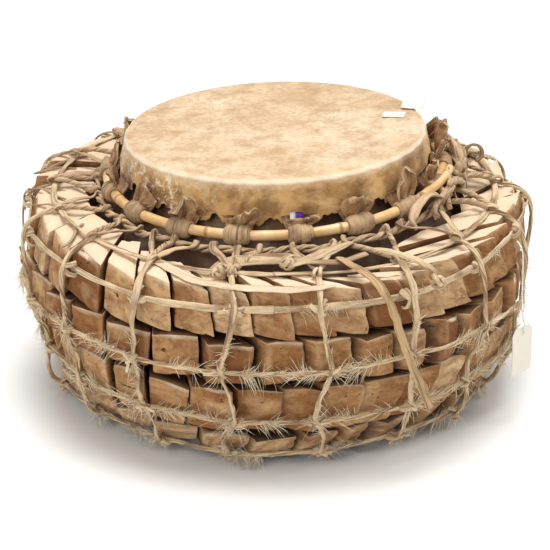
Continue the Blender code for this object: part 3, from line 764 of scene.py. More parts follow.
def add_block(pile, corners, tier):
    """One worn block: its CAD corners, with rounded edges, an uneven surface and chipped rims."""
    kind = TIERS[tier - 1]
    size = np.array([
        np.linalg.norm(corners[1] - corners[0], axis=-1).mean(),
        np.linalg.norm(corners[:, 1] - corners[:, 0], axis=-1).mean(),
        np.linalg.norm(corners[:, :, 1] - corners[:, :, 0], axis=-1).mean(),
    ])
    edge = min(chance.uniform(*kind.edge), size.min() * 0.3)
    sides = [spread(count, length, edge) for count, length in zip(CELLS, size)]
    local = np.stack([sides[axis][PLACES[:, axis]] for axis in range(3)], -1) * size
    made, out = rounded(local, size, edge, chance.uniform(*kind.top_edge))
    seed = chance.uniform(0, 100, 3)
    at_edge = (np.abs(local - size / 2) > size / 2 - edge * 1.1).sum(1) >= 2
    made = hewn(roughened(made, out, at_edge, seed), size, kind)
    # Sawn from planks: the grain mostly runs across the outer face, else along the depth.
    long_way = 1 if size[1] > 1.35 * size[0] or chance.random() < 0.3 else 0
    grain = made[:, [long_way, 1 - long_way, 2]]
    grain[:, 1] += grain[:, 0] * chance.uniform(-0.12, 0.12)
    # The rubbed edges with a painted highlight, and the painted shade on flanks, feet and tops
    # under a tier.
    wear = block_wear_and_painted_light(made, size, at_edge, tier)
    tone = np.clip(chance.normal(kind.tone, TONE_SPREAD), 0, 1)
    pile.add(fitted(made / size, corners), QUADS, grain=grain + seed, tone=tone, wear=wear)


# How a block is tipped, in degrees: the mean and the spread.
TIP, TIP_LEANING, TIP_PACKED = (0, 2.6), (-5.5, 2.5), (0, 0.8)
MOST_TIP, MOST_SHIFT = 9, 0.003


def out_of_true(corners, tier):
    """The block as it really sits: tipped to one side, pushed in or out, and not quite as wide."""
    middle = corners.reshape(-1, 3).mean(0)
    bearing = math.degrees(math.atan2(middle[0], -middle[1]))
    out = outward(middle)
    along = sideways(out)
    tip = chance.normal(*TIP)
    if tier == 1 and -80 < bearing < 12:
        tip = chance.normal(*TIP_LEANING)
    if tier == 1 and 12 <= bearing < 150:
        tip = chance.normal(*TIP_PACKED)
    tip = math.radians(float(np.clip(tip, -MOST_TIP, MOST_TIP)))
    away = corners - middle
    side, rise = away @ along, away[..., 2].copy()
    side = side * (1.005 - 0.35 * abs(tip))
    made = away - (away @ along)[..., None] * along
    made = made + (side * math.cos(tip) - rise * math.sin(tip))[..., None] * along
    made[..., 2] = rise * math.cos(tip) + side * math.sin(tip)
    shift = out * chance.normal(0, 0.0016) + UP * chance.normal(0, 0.0009)
    made = middle + made + np.clip(shift, -MOST_SHIFT, MOST_SHIFT)
    low = corners[..., 2].min()
    if low < 0.003:  # a block that stands on the floor stays on it
        made[..., 2] = np.maximum(made[..., 2], low)
    return made


def make_blocks():
    """One piece for each sector of a tier; returns what the net can lie on."""
    points, faces, total = [], [], 0
    for name in sorted(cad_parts):
        if not name.startswith("blocks_"):
            continue
        tier = int(name.split("_")[1])
        pile = Pile()
        for corners in block_corners(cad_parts[name]):
            add_block(pile, out_of_true(corners, tier), tier)
        pile.build(f"{name}_wood", WOOD, "drum", [name])
        points.append(np.concatenate(pile.points))
        faces.append(np.concatenate(pile.faces[4]) + total)
        total += len(points[-1])
    return np.concatenate(points), np.concatenate(faces)


# --- Shell --------------------------------------------------------------------------------------
SHELL_FLOOR = 0.09  # the inside is level within this radius
TOOL_MARKS = 0.0009


def make_shell():
    """The kettle: a closed bowl, hollow, with tool marks on its outside."""
    outside = curve_through([(r, z, 0.0) for r, z in SHELL_PROFILE], 0.005)[:, :2]
    slope = unit(np.gradient(outside, axis=0))
    inside = outside[::-1] - np.stack([-slope[::-1, 1], slope[::-1, 0]], -1) * SHELL_WALL
    inside = inside[(inside[:, 1] > SHELL_WALL) & (inside[:, 0] > SHELL_FLOOR)]
    profile = np.vstack([[0.001, SHELL_WALL], [SHELL_FLOOR, SHELL_WALL], inside[3:], outside,
                         [0.001, 0.0]])
    steps = 180
    rows = np.stack([at(around(steps), radius, height) for radius, height in profile])
    outer = slice(len(profile) - len(outside), len(profile) - 2)
    shape = rows[outer].shape
    marks = bumps((rows[outer] * (40, 40, 12)).reshape(-1, 3)).reshape(shape[:2])
    rows[outer] += outward(rows[outer]) * (marks * TOOL_MARKS)[..., None]
    share = np.clip((rows[..., 2] - SHEAR_FROM) / (SHEAR_TO - SHEAR_FROM), 0, 1)
    rows[..., 2] += share * (rows[..., 0] * HEAD_SLOPE[0] + rows[..., 1] * HEAD_SLOPE[1])
    count = len(profile)
    caps = [fan(row * steps + np.arange(steps), count * steps + end, order)
            for end, row, order in ((0, 0, 1), (1, count - 1, -1))]
    points = np.vstack([rows.reshape(-1, 3), [[0, 0, SHELL_WALL], [0, 0, 0]]])
    pile = Pile()
    pile.add(points, grid_faces(count, steps, closed=True), np.concatenate(caps))
    pile.build("kettle", SHELL_WOOD, "drum", ["shell"])
    return rows[outer].reshape(-1, 3), grid_faces(shape[0], steps, closed=True)


# --- Head ---------------------------------------------------------------------------------------
# Each notch of the skirt: degrees off its middle place, half its width, and its height.
NOTCHES = chance.uniform((-1.6, 0.0045, 0.005), (1.6, 0.0105, 0.0165), (TABS, 3))
SKIRT_RADIUS = 0.165
RIM_TURN = 0.0045  # the radius at which the hide turns down
RIM_ANGLES, RIM_WEAR = (22, 42, 62, 82), (0.04, 0.06, 0.08, 0.11)


def skirt_bottom(bearings):
    """How far above the hoop's plane the skirt ends; each notch has its own place and size."""
    pitch = 360 / TABS
    number = np.round((bearings - FIRST_TAB - pitch / 2) / pitch).astype(int) % TABS
    shift, half, high = NOTCHES[number].T
    off = turned(bearings - FIRST_TAB - pitch * (number + 0.5), shift)
    off = off * math.radians(1) * SKIRT_RADIUS
    notch = high * np.sqrt(np.clip(1 - (off / half) ** 2, 0, 1))
    return 0.0055 + 0.0015 * np.sin(bearings * 0.9) + 0.0008 * np.sin(bearings * 2.3) + notch


def head_top(bearings):
    """Rings of the flat top, slightly dished and uneven."""
    rings = []
    for radius in np.concatenate([[0.004], np.linspace(0.012, HEAD_RADIUS - 0.008, 38)]):
        points = at(bearings, radius, HEAD_HEIGHT)
        lumps = bumps_round([(x * 22, y * 22, 1.3) for x, y, _ in points[::6]], len(bearings))
        points[:, 2] += -0.0009 * (1 - (radius / HEAD_RADIUS) ** 2) + 0.0005 * lumps
        rings.append(raised(points, HEAD_SLOPE))
    return rings


def head_rim(bearings):
    """Rings where the hide turns down over the edge of the shell."""
    rings = []
    for angle in np.radians(RIM_ANGLES):
        radius = HEAD_RADIUS - RIM_TURN + RIM_TURN * math.sin(angle)
        height = HEAD_HEIGHT - RIM_TURN + RIM_TURN * math.cos(angle)
        ripple = 0.0006 * np.sin(np.radians(bearings) * 37) * math.sin(angle)
        rings.append(raised(at(bearings, radius + ripple, height), HEAD_SLOPE))
    return rings


def head_skirt(bearings, high):
    """Rings from the turned edge, which is level with the head, down to the notches."""
    radius = HEAD_RADIUS + 0.0052 + 0.0012 * np.sin(np.radians(bearings) * TABS + 1)
    low = raised(at(bearings, radius, skirt_bottom(bearings) + HOOP_HEIGHT), HOOP_SLOPE)
    rings = []
    for share in np.linspace(0, 1, 22)[1:]:
        lumps = bumps_round([(b * 0.35, share * 2.2, 5.0) for b in bearings[::3]], len(bearings))
        bulge = 0.0012 * math.sin(share * math.pi) + 0.0009 * lumps * min(1.0, share * 3)
        rings.append(high + (low - high) * share + at(bearings, bulge, 0.0))
    return rings


def make_head():
    """The hide: one closed skin over the shell and down to the hoop."""
    steps = 900
    bearings = around(steps)
    top, rim = head_top(bearings), head_rim(bearings)
    side = head_skirt(bearings, rim[-1])
    outer = np.stack([*top, *rim, *side])
    along_rows = np.gradient(outer, axis=0)
    along_ring = np.roll(outer, -1, 1) - np.roll(outer, 1, 1)
    normal = unit(np.cross(along_rows, along_ring))
    normal *= np.sign(normal[0, :, 2].mean())
    rows = np.concatenate([outer, (outer - normal * SKIN)[::-1]])
    wear = np.concatenate([np.zeros(len(top)), RIM_WEAR,
                           0.16 + 0.84 * np.linspace(0, 1, len(side))])
    wear = np.repeat(np.concatenate([wear, wear[::-1]]), steps)
    ends = ((0, 1), (len(rows) - 1, -1))
    caps = [fan(row * steps + np.arange(steps), len(rows) * steps + number, order)
            for number, (row, order) in enumerate(ends)]
    points = np.vstack([rows.reshape(-1, 3), *(rows[row].mean(0) for row, _ in ends)])
    pile = Pile()
    pile.add(points, grid_faces(len(rows), steps, closed=True), np.concatenate(caps),
             wear=np.append(wear, [0, 0]))
    head = pile.build("head_hide", HEAD_SKIN, None, ["drum_head"])
    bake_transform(head)


# --- Hoop, tabs and bindings --------------------------------------------------------------------
CANE_JOINTS, JOINT_SWELL, JOINT_REACH = (-64, -22, 21, 57, 103, 150, 205, 252), 0.0007, 0.7
LAP_BEARINGS = tuple(52 + 3.2 * i for i in range(8))  # the lapped end runs along these
LAP_OUT, LAP_END_RISE, LAP_THICK = 0.0106, 0.002, 0.0084
THONG, ROLL_INSIDE = 0.0027, 0.0056


def tab_bearing(number):
    return FIRST_TAB + number * 360 / TABS


def along_hoop(middle, places, wide):
    """Bearings across a width at the hoop; places run from -1 to 1."""
    return middle + np.degrees(places * wide / 2 / HOOP_RADIUS)


def round_hoop(bearings, radius, angle):
    """Points round the hoop's centre line, as an array [bearing][angle]."""
    return np.stack([
        beside_hoop(bearings, radius[:, i] * math.cos(a), radius[:, i] * math.sin(a))
        for i, a in enumerate(angle)
    ], 1)


def make_hoop():
    pile = Pile()
    steps, sides = 720, 14
    bearings = around(steps)
    swell = np.zeros(steps)
    for joint in CANE_JOINTS:
        swell += JOINT_SWELL * np.exp(-(turned(bearings, joint) / JOINT_REACH) ** 2)
    path = beside_hoop(bearings, 0.0003 * wander(steps, 0.02, 3), 0.0)
    tone = np.repeat(np.clip(swell / JOINT_SWELL, 0, 1) * 0.5 + 0.45, sides)
    sweep(pile, path, UP, 2 * (CANE + swell), 2 * (CANE + swell), closed=True, sides=sides,
          shape=1.0, uneven=0.03, tone=tone)
    pile.build("hoop_cane", CANE_LOOK, "hoop", ["cane_hoop"])
    splice = Pile()
    last = LAP_BEARINGS[-1]
    route = curve_through([
        beside_hoop(bearing, LAP_OUT, LAP_OUT + LAP_END_RISE * (bearing == last))
        for bearing in LAP_BEARINGS
    ])
    sweep(splice, route, UP, LAP_THICK, LAP_THICK, sides=12, shape=1.0, uneven=0.04)
    splice.build("hoop_lapped_end", CANE_LOOK, "hoop", ["hoop_splice"])


def make_bindings():
    """Thong wound side by side round each tab and the cane, barrel-shaped over the roll of skin."""
    pile = Pile()
    sides = 26
    angle = np.arange(sides) * 2 * math.pi / sides
    for tab in range(TABS):
        middle = tab_bearing(tab)
        wide = chance.uniform(0.022, 0.031)
        turns = int(wide / THONG)
        rows = turns * 6
        share = np.linspace(-1, 1, rows)
        fat = chance.uniform(0.0026, 0.0046)
        barrel = 0.0066 + fat * np.clip(1 - np.abs(share) ** 2.2, 0, 1) ** 0.6
        slant = chance.uniform(-0.5, 0.5)
        phase = share[:, None] * turns * math.pi + slant * np.cos(angle)[None, :] * 3 + angle / 2
        rib = np.abs(np.sin(phase)) ** 0.7
        lump = np.array([
            [noise.noise(Vector((s * 3 + tab * 5, math.cos(a) * 1.4, math.sin(a) * 1.4)))
             for a in angle] for s in share
        ])
        radius = barrel[:, None] * (1 + 0.11 * lump) + 0.00012 * rib
        bearings = along_hoop(middle, share, wide)
        # Two more rows, last and first again, close the roll on its inside.
        inner = round_hoop(bearings[[-1, 0]], np.full((2, sides), ROLL_INSIDE), angle)
        points = np.concatenate([round_hoop(bearings, radius, angle), inner])
        first = np.arange(sides)
        last = (rows + 1) * sides + first
        seam = np.stack([last, first, np.roll(first, -1), np.roll(last, -1)], -1)
        quads = np.vstack([grid_faces(rows + 2, sides, closed=True), seam])
        shape = (rows + 2, sides)
        grain = np.stack([
            np.broadcast_to(angle[None, :] * 0.009, shape),
            np.broadcast_to(np.append(share, [1, -1])[:, None] * wide / 2, shape),
            np.full(shape, float(tab)),
        ], -1)
        tone = 0.36 + 0.12 * np.vstack([rib, rib[-1:], rib[:1]]) + chance.uniform(-0.2, 0.3)
        pile.add(points, quads[:, ::-1], grain=grain, tone=np.clip(tone, 0, 1).ravel())
    pile.build("hoop_bindings", BINDING, "hoop", ["tab_bindings"])


def thick_sheet(pile, sheet, thickness, seed=0.0, pale_rim=False):
    """A closed skin of this thickness from a grid of points (rows, columns, 3)."""
    rows, columns = sheet.shape[:2]
    normal = unit(np.cross(np.gradient(sheet, axis=0), np.gradient(sheet, axis=1)))
    front, back = sheet + normal * thickness / 2, sheet - normal * thickness / 2
    points = np.concatenate([front.reshape(-1, 3), back.reshape(-1, 3)])
    faces = grid_faces(rows, columns)
    size = rows * columns
    rim = np.concatenate([
        np.arange(columns), np.arange(1, rows) * columns + columns - 1,
        (rows - 1) * columns + np.arange(columns - 2, -1, -1),
        np.arange(rows - 2, 0, -1) * columns])
    after = np.roll(rim, -1)
    sides = np.stack([rim, after, after + size, rim + size], -1)
    along = np.cumsum(np.linalg.norm(np.diff(sheet, axis=0, prepend=sheet[:1]), axis=2), 0)
    across = np.cumsum(np.linalg.norm(np.diff(sheet, axis=1, prepend=sheet[:, :1]), axis=2), 1)
    grain = np.stack([along, across, np.full_like(along, seed)], -1).reshape(-1, 3)
    wear = np.zeros((rows, columns))
    if pale_rim:
        wear[-1:, :] = 0.8
        wear[:, :1] = wear[:, -1:] = 0.45
    pile.add(points, np.vstack([faces, faces[:, ::-1] + size, sides[:, ::-1]]),
             grain=np.vstack([grain, grain]), wear=np.tile(wear.ravel(), 2))


# A tab's neck, from the skirt down to the inside of the cane: out, up and width of each row.
NECK = (
    (-0.0135, 0.0150, 0.040), (-0.0128, 0.0110, 0.036), (-0.0112, 0.0070, 0.031),
    (-0.0085, 0.0030, 0.027), (-0.0066, 0.0, 0.025), (-0.0062, -0.0030, 0.024),
)
NECK_SKIN, CUP_SKIN = 0.0013, 0.0024
CUP_HIGH, CUP_WIDE, TIED_WIDE = (0.015, 0.027), (0.028, 0.042), 0.020
CUT_LOW = 0.0085  # the tab that caught the ribbon


def tab_neck(middle, seed):
    rows = []
    for step, (out, up, wide) in enumerate(NECK):
        side = np.linspace(-1, 1, 15)
        fold = 0.0010 * np.sin(side * 7 + seed) * (step / 5)
        rows.append(beside_hoop(along_hoop(middle, side, wide), out + fold, up))
    return np.stack(rows)


def tab_cup(tab, middle, seed):
    """What is left of the tab above its binding, pleated where it is tied."""
    high, wide = chance.uniform(*CUP_HIGH), chance.uniform(*CUP_WIDE)
    if 120 < middle % 360 < 240:
        high *= 0.5
    if tab == 0:
        high = CUT_LOW
    curl = chance.choice([-1, 1], p=[0.4, 0.6]) * chance.uniform(0.5, 1.1)
    fall, swing = chance.uniform(-0.6, 1.0), chance.uniform(-3.5, 3.5)
    pleats, skew = chance.uniform(5, 9), chance.uniform(-0.35, 0.35)
    side = np.linspace(-1, 1, 21)
    ragged = 0.10 * np.sin(side * 4.1 + seed * 3) + 0.05 * np.sin(side * 9.7 + seed)
    rows = []
    for share in np.linspace(0, 1, 15):
        round_off = max(1 - max(0, (share - 0.45) / 0.56) ** 3, 0.10) ** 0.4
        spread_out = math.sin(min(share * 2.2, 1.57))
        width = (TIED_WIDE + (wide - TIED_WIDE) * spread_out) * round_off
        lift = 0.0072 + high * share * (1 - 0.10 * side**2 + skew * side + ragged * share)
        out = -0.0035 + curl * 0.0075 * side**2 * (0.3 + share) + fall * 0.010 * share**2
        out = out + 0.0022 * (1.2 - share) * np.sin(side * pleats + seed)
        out = out + 0.0012 * np.sin(side * 3 - seed + share * 5) * share
        bearings = along_hoop(middle + swing * share, side, width)
        rows.append(beside_hoop(bearings, np.clip(out, -0.0105, 0.02), lift))
    return np.stack(rows)[:, ::-1]


def make_tabs():
    """Each tab comes down behind the cane, rolls under it and stands up in front as a stiff cup."""
    pile = Pile()
    for tab in range(TABS):
        middle = tab_bearing(tab)
        seed = float(chance.uniform(0, 50))
        thick_sheet(pile, tab_neck(middle, seed), NECK_SKIN, seed=seed)
        thick_sheet(pile, tab_cup(tab, middle, seed), CUP_SKIN, seed=seed + 3, pale_rim=True)
    pile.build("rolled_tabs", TAB_SKIN, "hoop", ["skin_tabs"])


# --- Net ----------------------------------------------------------------------------------------
ABOVE, OUTSIDE = 0.30, 0.34  # where rays start: a height over the drum, a radius round it
LONGEST_RAY = 0.4
DOWN = (0, 0, -1)


class Ground:
    """What the strips of the net lie on."""

    def __init__(self, *meshes):
        starts = np.cumsum([0] + [len(points) for points, _ in meshes])
        faces = np.concatenate([faces + start for (_, faces), start in zip(meshes, starts)])
        points = np.concatenate([points for points, _ in meshes])
        self.tree = BVHTree.FromPolygons(points.tolist(), faces.tolist())

    def reach(self, starts, ways, far, least):
        """How much of the far distance is left when the first ray meets a surface."""
        for start, way in zip(starts, ways):
            place, _, _, gone = self.tree.ray_cast(Vector(start), Vector(way), LONGEST_RAY)
            if place is not None:
                least = max(least, far - gone)
        return least

    def tops(self, bearings, radii, least, turn=0.0, out=0.0):
        """Heights of the surface under a line: the highest over the width of a strip."""
        heights = []
        for bearing, radius in zip(bearings, np.broadcast_to(radii, len(bearings))):
            starts = [at(bearing + turn * side, radius + out * side, ABOVE) for side in (-1, 0, 1)]
            heights.append(self.reach(starts, [DOWN] * 3, ABOVE, least))
        return np.array(heights)


def taut(least, closed, rounds=260):
    """The lowest smooth line over these heights, as a strip pulled tight over bumps."""
    reach = 9
    line = least.copy()
    for shift in range(-reach, reach + 1):
        moved = np.roll(least, shift)
        if not closed:
            if shift > 0:
                moved[:shift] = least[:shift]
            elif shift < 0:
                moved[shift:] = least[shift:]
        line = np.maximum(line, moved)
    for _ in range(rounds):
        before, after = np.roll(line, 1), np.roll(line, -1)
        if not closed:
            before[0], after[-1] = line[0], line[-1]
        line = np.maximum(least, 0.5 * line + 0.25 * (before + after))
    return line


def ring_line(ground, bearings, heights):
    """Radii at which a level strip lies on the blocks."""
    least = []
    for bearing, height in zip(bearings, heights):
        starts = [at(bearing, OUTSIDE, height + off) for off in (-0.0026, 0, 0.0026)]
        least.append(ground.reach(starts, [-outward(start) for start in starts], OUTSIDE, 0.2))
    return taut(np.array(least), closed=True)


def upright_bearing(number):
    return FIRST_UPRIGHT + number * 360 / UPRIGHTS


# Small departures of each upright from its bearing, and of each crossing from its height.
SWAY = chance.uniform(-1.9, 1.9, (UPRIGHTS, len(NET_RING_HEIGHTS)))
LIFT = chance.uniform(-0.0036, 0.0036, (UPRIGHTS, len(NET_RING_HEIGHTS)))


# How hairy each net ring is: patches for every 25 mm, and how long the hair is.
RING_HAIR = ((0.15, 0.008), (1.0, 0.014), (1.1, 0.015), (0.9, 0.014))


def make_net_ring(ground, number, bristles):
    """One level strip, knotted to every upright; the first is broad and bare, the rest hairy."""
    height = NET_RING_HEIGHTS[number]
    steps = 1000
    bearings = around(steps)
    knots = np.array([upright_bearing(k) + SWAY[k, number] for k in range(UPRIGHTS)])
    heights = height + np.interp(bearings, knots, LIFT[:, number], period=360)
    heights = heights + 0.0007 * wander(steps, 0.04, number + 11)
    heights = settled(at(bearings, 0.274, heights))[:, 2]
    least = ring_line(ground, bearings, heights)
    over = np.zeros(steps)  # 1 where the strip climbs over a crossing
    for knot in knots:
        over = np.maximum(over, np.exp(-(turned(bearings, knot) / 1.2) ** 2))
    facing = at(bearings, 1.0, 0.0)
    shade = np.clip(0.5 + 0.4 * wander(steps, 0.05, number + 51), 0, 1)
    pile = Pile()
    if number == 0:
        wide = 0.0072 + 0.0026 * wander(steps, 0.035, 21) - 0.0022 * over
        path = at(bearings, least + 0.0016 + over * 0.0020, heights)
        sweep(pile, path, facing, wide, 0.0025, roll=0.6 * wander(steps, 0.03, 41), closed=True,
              tone=np.repeat(shade, 10), seed=1.0, uneven=0.16)
    else:
        path = at(bearings, least + 0.0021 + over * 0.0018, heights)
        twisted(pile, path, facing, 0.0035, 0.0011, 0.075, closed=True, tone=shade,
                seed=number * 3.0)
    places = [path[int(round((knot % 360) / 360 * steps)) % steps] for knot in knots]
    add_knots(pile, places, number)
    name = f"net_ring_{number + 1}"
    pile.build(f"{name}_strip", RAWHIDE, "drum", [name])
    patches, long = RING_HAIR[number]
    add_bristles(bristles, path, facing, patches * 40, 28, long)
    if number:
        burst_at_knots(bristles, places, 20, long)


def add_knots(pile, places, number):
    """Turns of strip round each crossing: a few uneven loops and a short tucked end."""
    for index, place in enumerate(places):
        out = outward(place)
        along = sideways(out)
        size = chance.uniform(0.95, 1.25) if number else chance.uniform(1.2, 1.6)
        for loop in range(chance.integers(2, 4) + (number == 0)):
            lean = chance.uniform(-0.9, 0.9) + (math.pi / 2 if loop % 2 else 0)
            axis = along * math.cos(lean) + UP * math.sin(lean)
            cosine, sine = columns_of(np.linspace(-0.35, math.pi + 0.35, 15))
            long = 0.0062 * size * chance.uniform(0.8, 1.2)
            shift = (along * chance.uniform(-1, 1) + UP * chance.uniform(-1, 1)) * 0.0026 * size
            path = (place + shift + cosine * axis * long + sine * out * 0.0040 * size
                    - out * 0.0008)
            sweep(pile, path, cosine * axis + sine * out, 0.0040 * size, 0.0020, sides=8,
                  tone=chance.uniform(0.3, 0.8), seed=float(index + loop * 0.37), uneven=0.2)
        if chance.random() < 0.5:
            lean = chance.uniform(0, 2 * math.pi)
            way = along * math.cos(lean) + UP * math.sin(lean)
            length = chance.uniform(0.008, 0.018)
            steps = np.linspace(0, 1, 8)[:, None]
            path = place + out * (0.0020 + 0.0020 * steps) + way * length * steps
            sweep(pile, path, out, 0.0036, 0.0015, sides=8, tone=0.7, seed=float(index))


def make_upright(ground, number, bristles):
    """A strip from the lacing down over the tiers and under to the foot ring."""
    angles = np.radians(np.arange(80, -124, -1.3))
    count = len(angles)
    centre_radius, centre_height, far = 0.212, 0.110, 0.25
    ring_angles = [math.degrees(math.atan2(z - centre_height, 0.27 - centre_radius))
                   for z in NET_RING_HEIGHTS]
    sway = np.interp(np.degrees(-angles), [-75, *[-a for a in ring_angles], 100],
                     [0.0, *SWAY[number], 0.0])
    bearings = upright_bearing(number) + sway + 0.25 * wander(count, 0.12, number + 3)
    share = np.linspace(0, 1, count)
    broad = chance.uniform(0.0058, 0.0080)
    wide = np.interp(share, [0, 0.35, 1], [broad, broad * 0.9, broad * 0.72])
    wide = wide + 0.0014 * wander(count, 0.09, number + 61)
    least = []
    for angle, bearing in zip(angles, bearings):
        sides = bearing + np.array([-0.7, 0.0, 0.7])
        ways = at(sides, math.cos(angle), 0.0) + UP * math.sin(angle)
        starts = at(sides, centre_radius, centre_height) + ways * far
        least.append(ground.reach(starts, -ways, far, 0.02))
    reach = taut(np.array(least), closed=False, rounds=40) + 0.0013
    ways = at(bearings, np.cos(angles), 0.0) + np.sin(angles)[:, None] * UP
    path = at(bearings, centre_radius, centre_height) + ways * reach[:, None]
    path[:, 2] = np.maximum(path[:, 2], 0.0024)
    shade = np.clip(chance.uniform(0.3, 0.65) + 0.35 * wander(count, 0.1, number + 91), 0, 1)
    pile = Pile()
    if chance.random() < 0.4:
        twisted(pile, path, ways, 0.0040, 0.0011, chance.uniform(0.05, 0.09), tone=shade,
                seed=number * 2.0)
    else:
        roll = 0.9 * wander(count, 0.07, number + 81)
        tone = np.append(np.repeat(shade, 10), [0.5, 0.5])
        sweep(pile, path, ways, wide * (1 - 0.3 * np.abs(roll)), 0.0023, roll=roll, tone=tone,
              seed=number * 2.0 + 0.5, uneven=0.18)
    name = f"net_upright_{number + 1:02d}"
    pile.build(f"{name}_strip", RAWHIDE, "drum", [name])
    low = (path[:, 2] > 0.006) & (path[:, 2] < 0.165)  # only these parts are hairy
    add_bristles(bristles, path[low], ways[low], 30, 16, 0.010)


def add_bristles(pile, path, facing, per_metre, each, long):
    """Tufts that lie nearly along a strip, each combed its own way."""
    along = lengths_along(path)
    tufts = int(along[-1] * per_metre)
    where = np.repeat(chance.uniform(0, along[-1], tufts), each)
    combed = np.repeat(chance.choice([-1.0, 1.0], tufts), each)[:, None]
    rise = np.repeat(chance.normal(0.1, 0.75, tufts), each)[:, None]
    where = np.clip(where + chance.normal(0, 0.007, len(where)), 0, along[-1])
    look = [np.interp(where, along, facing[:, i]) for i in range(3)]
    way = [np.interp(where, along, np.gradient(path[:, i])) for i in range(3)]
    out, way = unit(np.stack(look, -1)), unit(np.stack(way, -1))
    across = np.cross(way, out)
    size = (len(where), 1)
    edge = across * chance.uniform(-1, 1, size)
    roots = np.stack([np.interp(where, along, path[:, i]) for i in range(3)], -1)
    roots = roots + edge * 0.0026 + out * 0.0008
    ways = (way * combed * chance.uniform(0.2, 1.2, size)
            + across * (rise + chance.normal(0, 0.35, size))
            + edge * 0.4 + out * chance.uniform(0.05, 0.50, size))
    hair(pile, roots, ways, chance.gamma(4.0, long / 4.0, len(roots)).clip(0.003, 0.024))


def burst_at_knots(pile, places, each, long):
    """Ends that stand out all round a knot."""
    roots = np.repeat(np.array(places), each, axis=0)
    out = outward(roots)
    along = np.cross(out, UP)
    turn = chance.uniform(0, 2 * math.pi, (len(roots), 1))
    flat = along * np.cos(turn) + UP * np.sin(turn)
    ways = flat + out * chance.uniform(0.1, 0.9, (len(roots), 1))
    hair(pile, roots + out * 0.002 + flat * 0.003, ways,
         chance.gamma(4.0, long / 4.5, len(roots)).clip(0.003, 0.020))


def make_top_and_foot_rings(ground):
    steps = 540
    bearings = around(steps)
    most = settled(at(bearings, 0.235, 0.2068))[:, 2]
    least = ground.tops(bearings, 0.235, 0.200, out=0.003)
    heights = taut(np.minimum(least, most), closed=True) + 0.0016
    path = at(bearings, 0.235 + 0.0022 * wander(steps, 0.03, 5), heights)
    tone = np.repeat(np.clip(0.4 + 0.4 * wander(steps, 0.06, 8), 0, 1), 10)
    pile = Pile()
    sweep(pile, path, UP, 0.0066, 0.0025, roll=0.6 * wander(steps, 0.05, 7), closed=True,
          tone=tone, seed=4.4, uneven=0.2)
    for index in range(UPRIGHTS):
        add_top_knot(pile, settled(at(upright_bearing(index), 0.2365, 0.2092)), index)
    pile.build("net_top_strip", RAWHIDE, "drum", ["net_top_ring"])
    foot = Pile()
    sweep(foot, at(bearings, 0.1400, 0.0042), UP, 0.0060, 0.0050, closed=True, tone=0.4)
    foot.build("foot_ring_strip", RAWHIDE, "drum", ["foot_ring"])


def add_top_knot(pile, place, index):
    out = outward(place)
    along = sideways(out)
    cosine, sine = columns_of(np.linspace(0, 2 * math.pi, 22))
    for loop in range(2):
        lean = chance.uniform(-0.6, 0.6)
        a = out * math.cos(lean) + along * math.sin(lean)
        path = (place + cosine * a * 0.0062 + sine * UP * 0.0036
                + along * (loop - 0.5) * 0.0042 + UP * 0.0004)
        sweep(pile, path, cosine * a + sine * UP, 0.0042, 0.0021, sides=8,
              tone=chance.uniform(0.4, 0.7), seed=float(index))


# --- Lacing -------------------------------------------------------------------------------------
def twisted(pile, path, facing, strand, gap, pitch, closed=False, tone=0.5, seed=0.0):
    """Two strips laid up round each other along the path."""
    along = lengths_along(path)
    total = along[-1] + (np.linalg.norm(path[-1] - path[0]) if closed else 0)
    turns = max(1, round(total / pitch)) if closed else total / pitch
    tangent = tangents(path, closed)
    side = unit(np.cross(tangent, np.broadcast_to(facing, path.shape)))
    up = np.cross(side, tangent)
    tone = np.broadcast_to(tone, len(path))
    for number in range(2):
        phase = along / total * turns * 2 * math.pi + number * math.pi
        offset = side * np.cos(phase)[:, None] + up * np.sin(phase)[:, None]
        wide = strand * (1 + 0.22 * wander(len(path), 0.11, seed + number))
        shade = np.repeat(np.clip(tone + 0.2 * (number - 0.5), 0, 1), 8)
        sweep(pile, path + offset * gap, offset, wide, strand * 0.62, closed=closed, sides=8,
              tone=shade if closed else np.append(shade, [0.5, 0.5]), seed=seed + number * 1.7,
              uneven=0.2)


def make_mouth_ring():
    pile = Pile()
    steps = 700
    bearings = around(steps)
    droop = 0.0014 * np.sin(np.radians(bearings) * 18) + 0.0012 * wander(steps, 0.03, 9)
    path = beside_mouth_ring(bearings, 0.0012 * wander(steps, 0.04, 12), droop)
    twisted(pile, path, UP, 0.0056, 0.0023, 0.042, closed=True, tone=0.5, seed=2.0)
    pile.build("mouth_ring_twist", LACE, "hoop", ["mouth_ring"])


def lace(pile, route, width, seed):
    """A lacing strip, twisted up or flat and half turned over."""
    route = curve_through(route)
    if chance.random() < 0.35:
        twisted(pile, route, UP, width * 0.62, 0.0013, 0.020, seed=seed)
        return
    count = len(route)
    roll = chance.uniform(-0.7, 0.7) + 0.9 * wander(count, 0.08, seed)
    sweep(pile, route, UP, width * taper(count, 0.7), 0.0024, roll=roll, sides=8,
          tone=chance.uniform(0.25, 0.8), seed=seed, uneven=0.22)


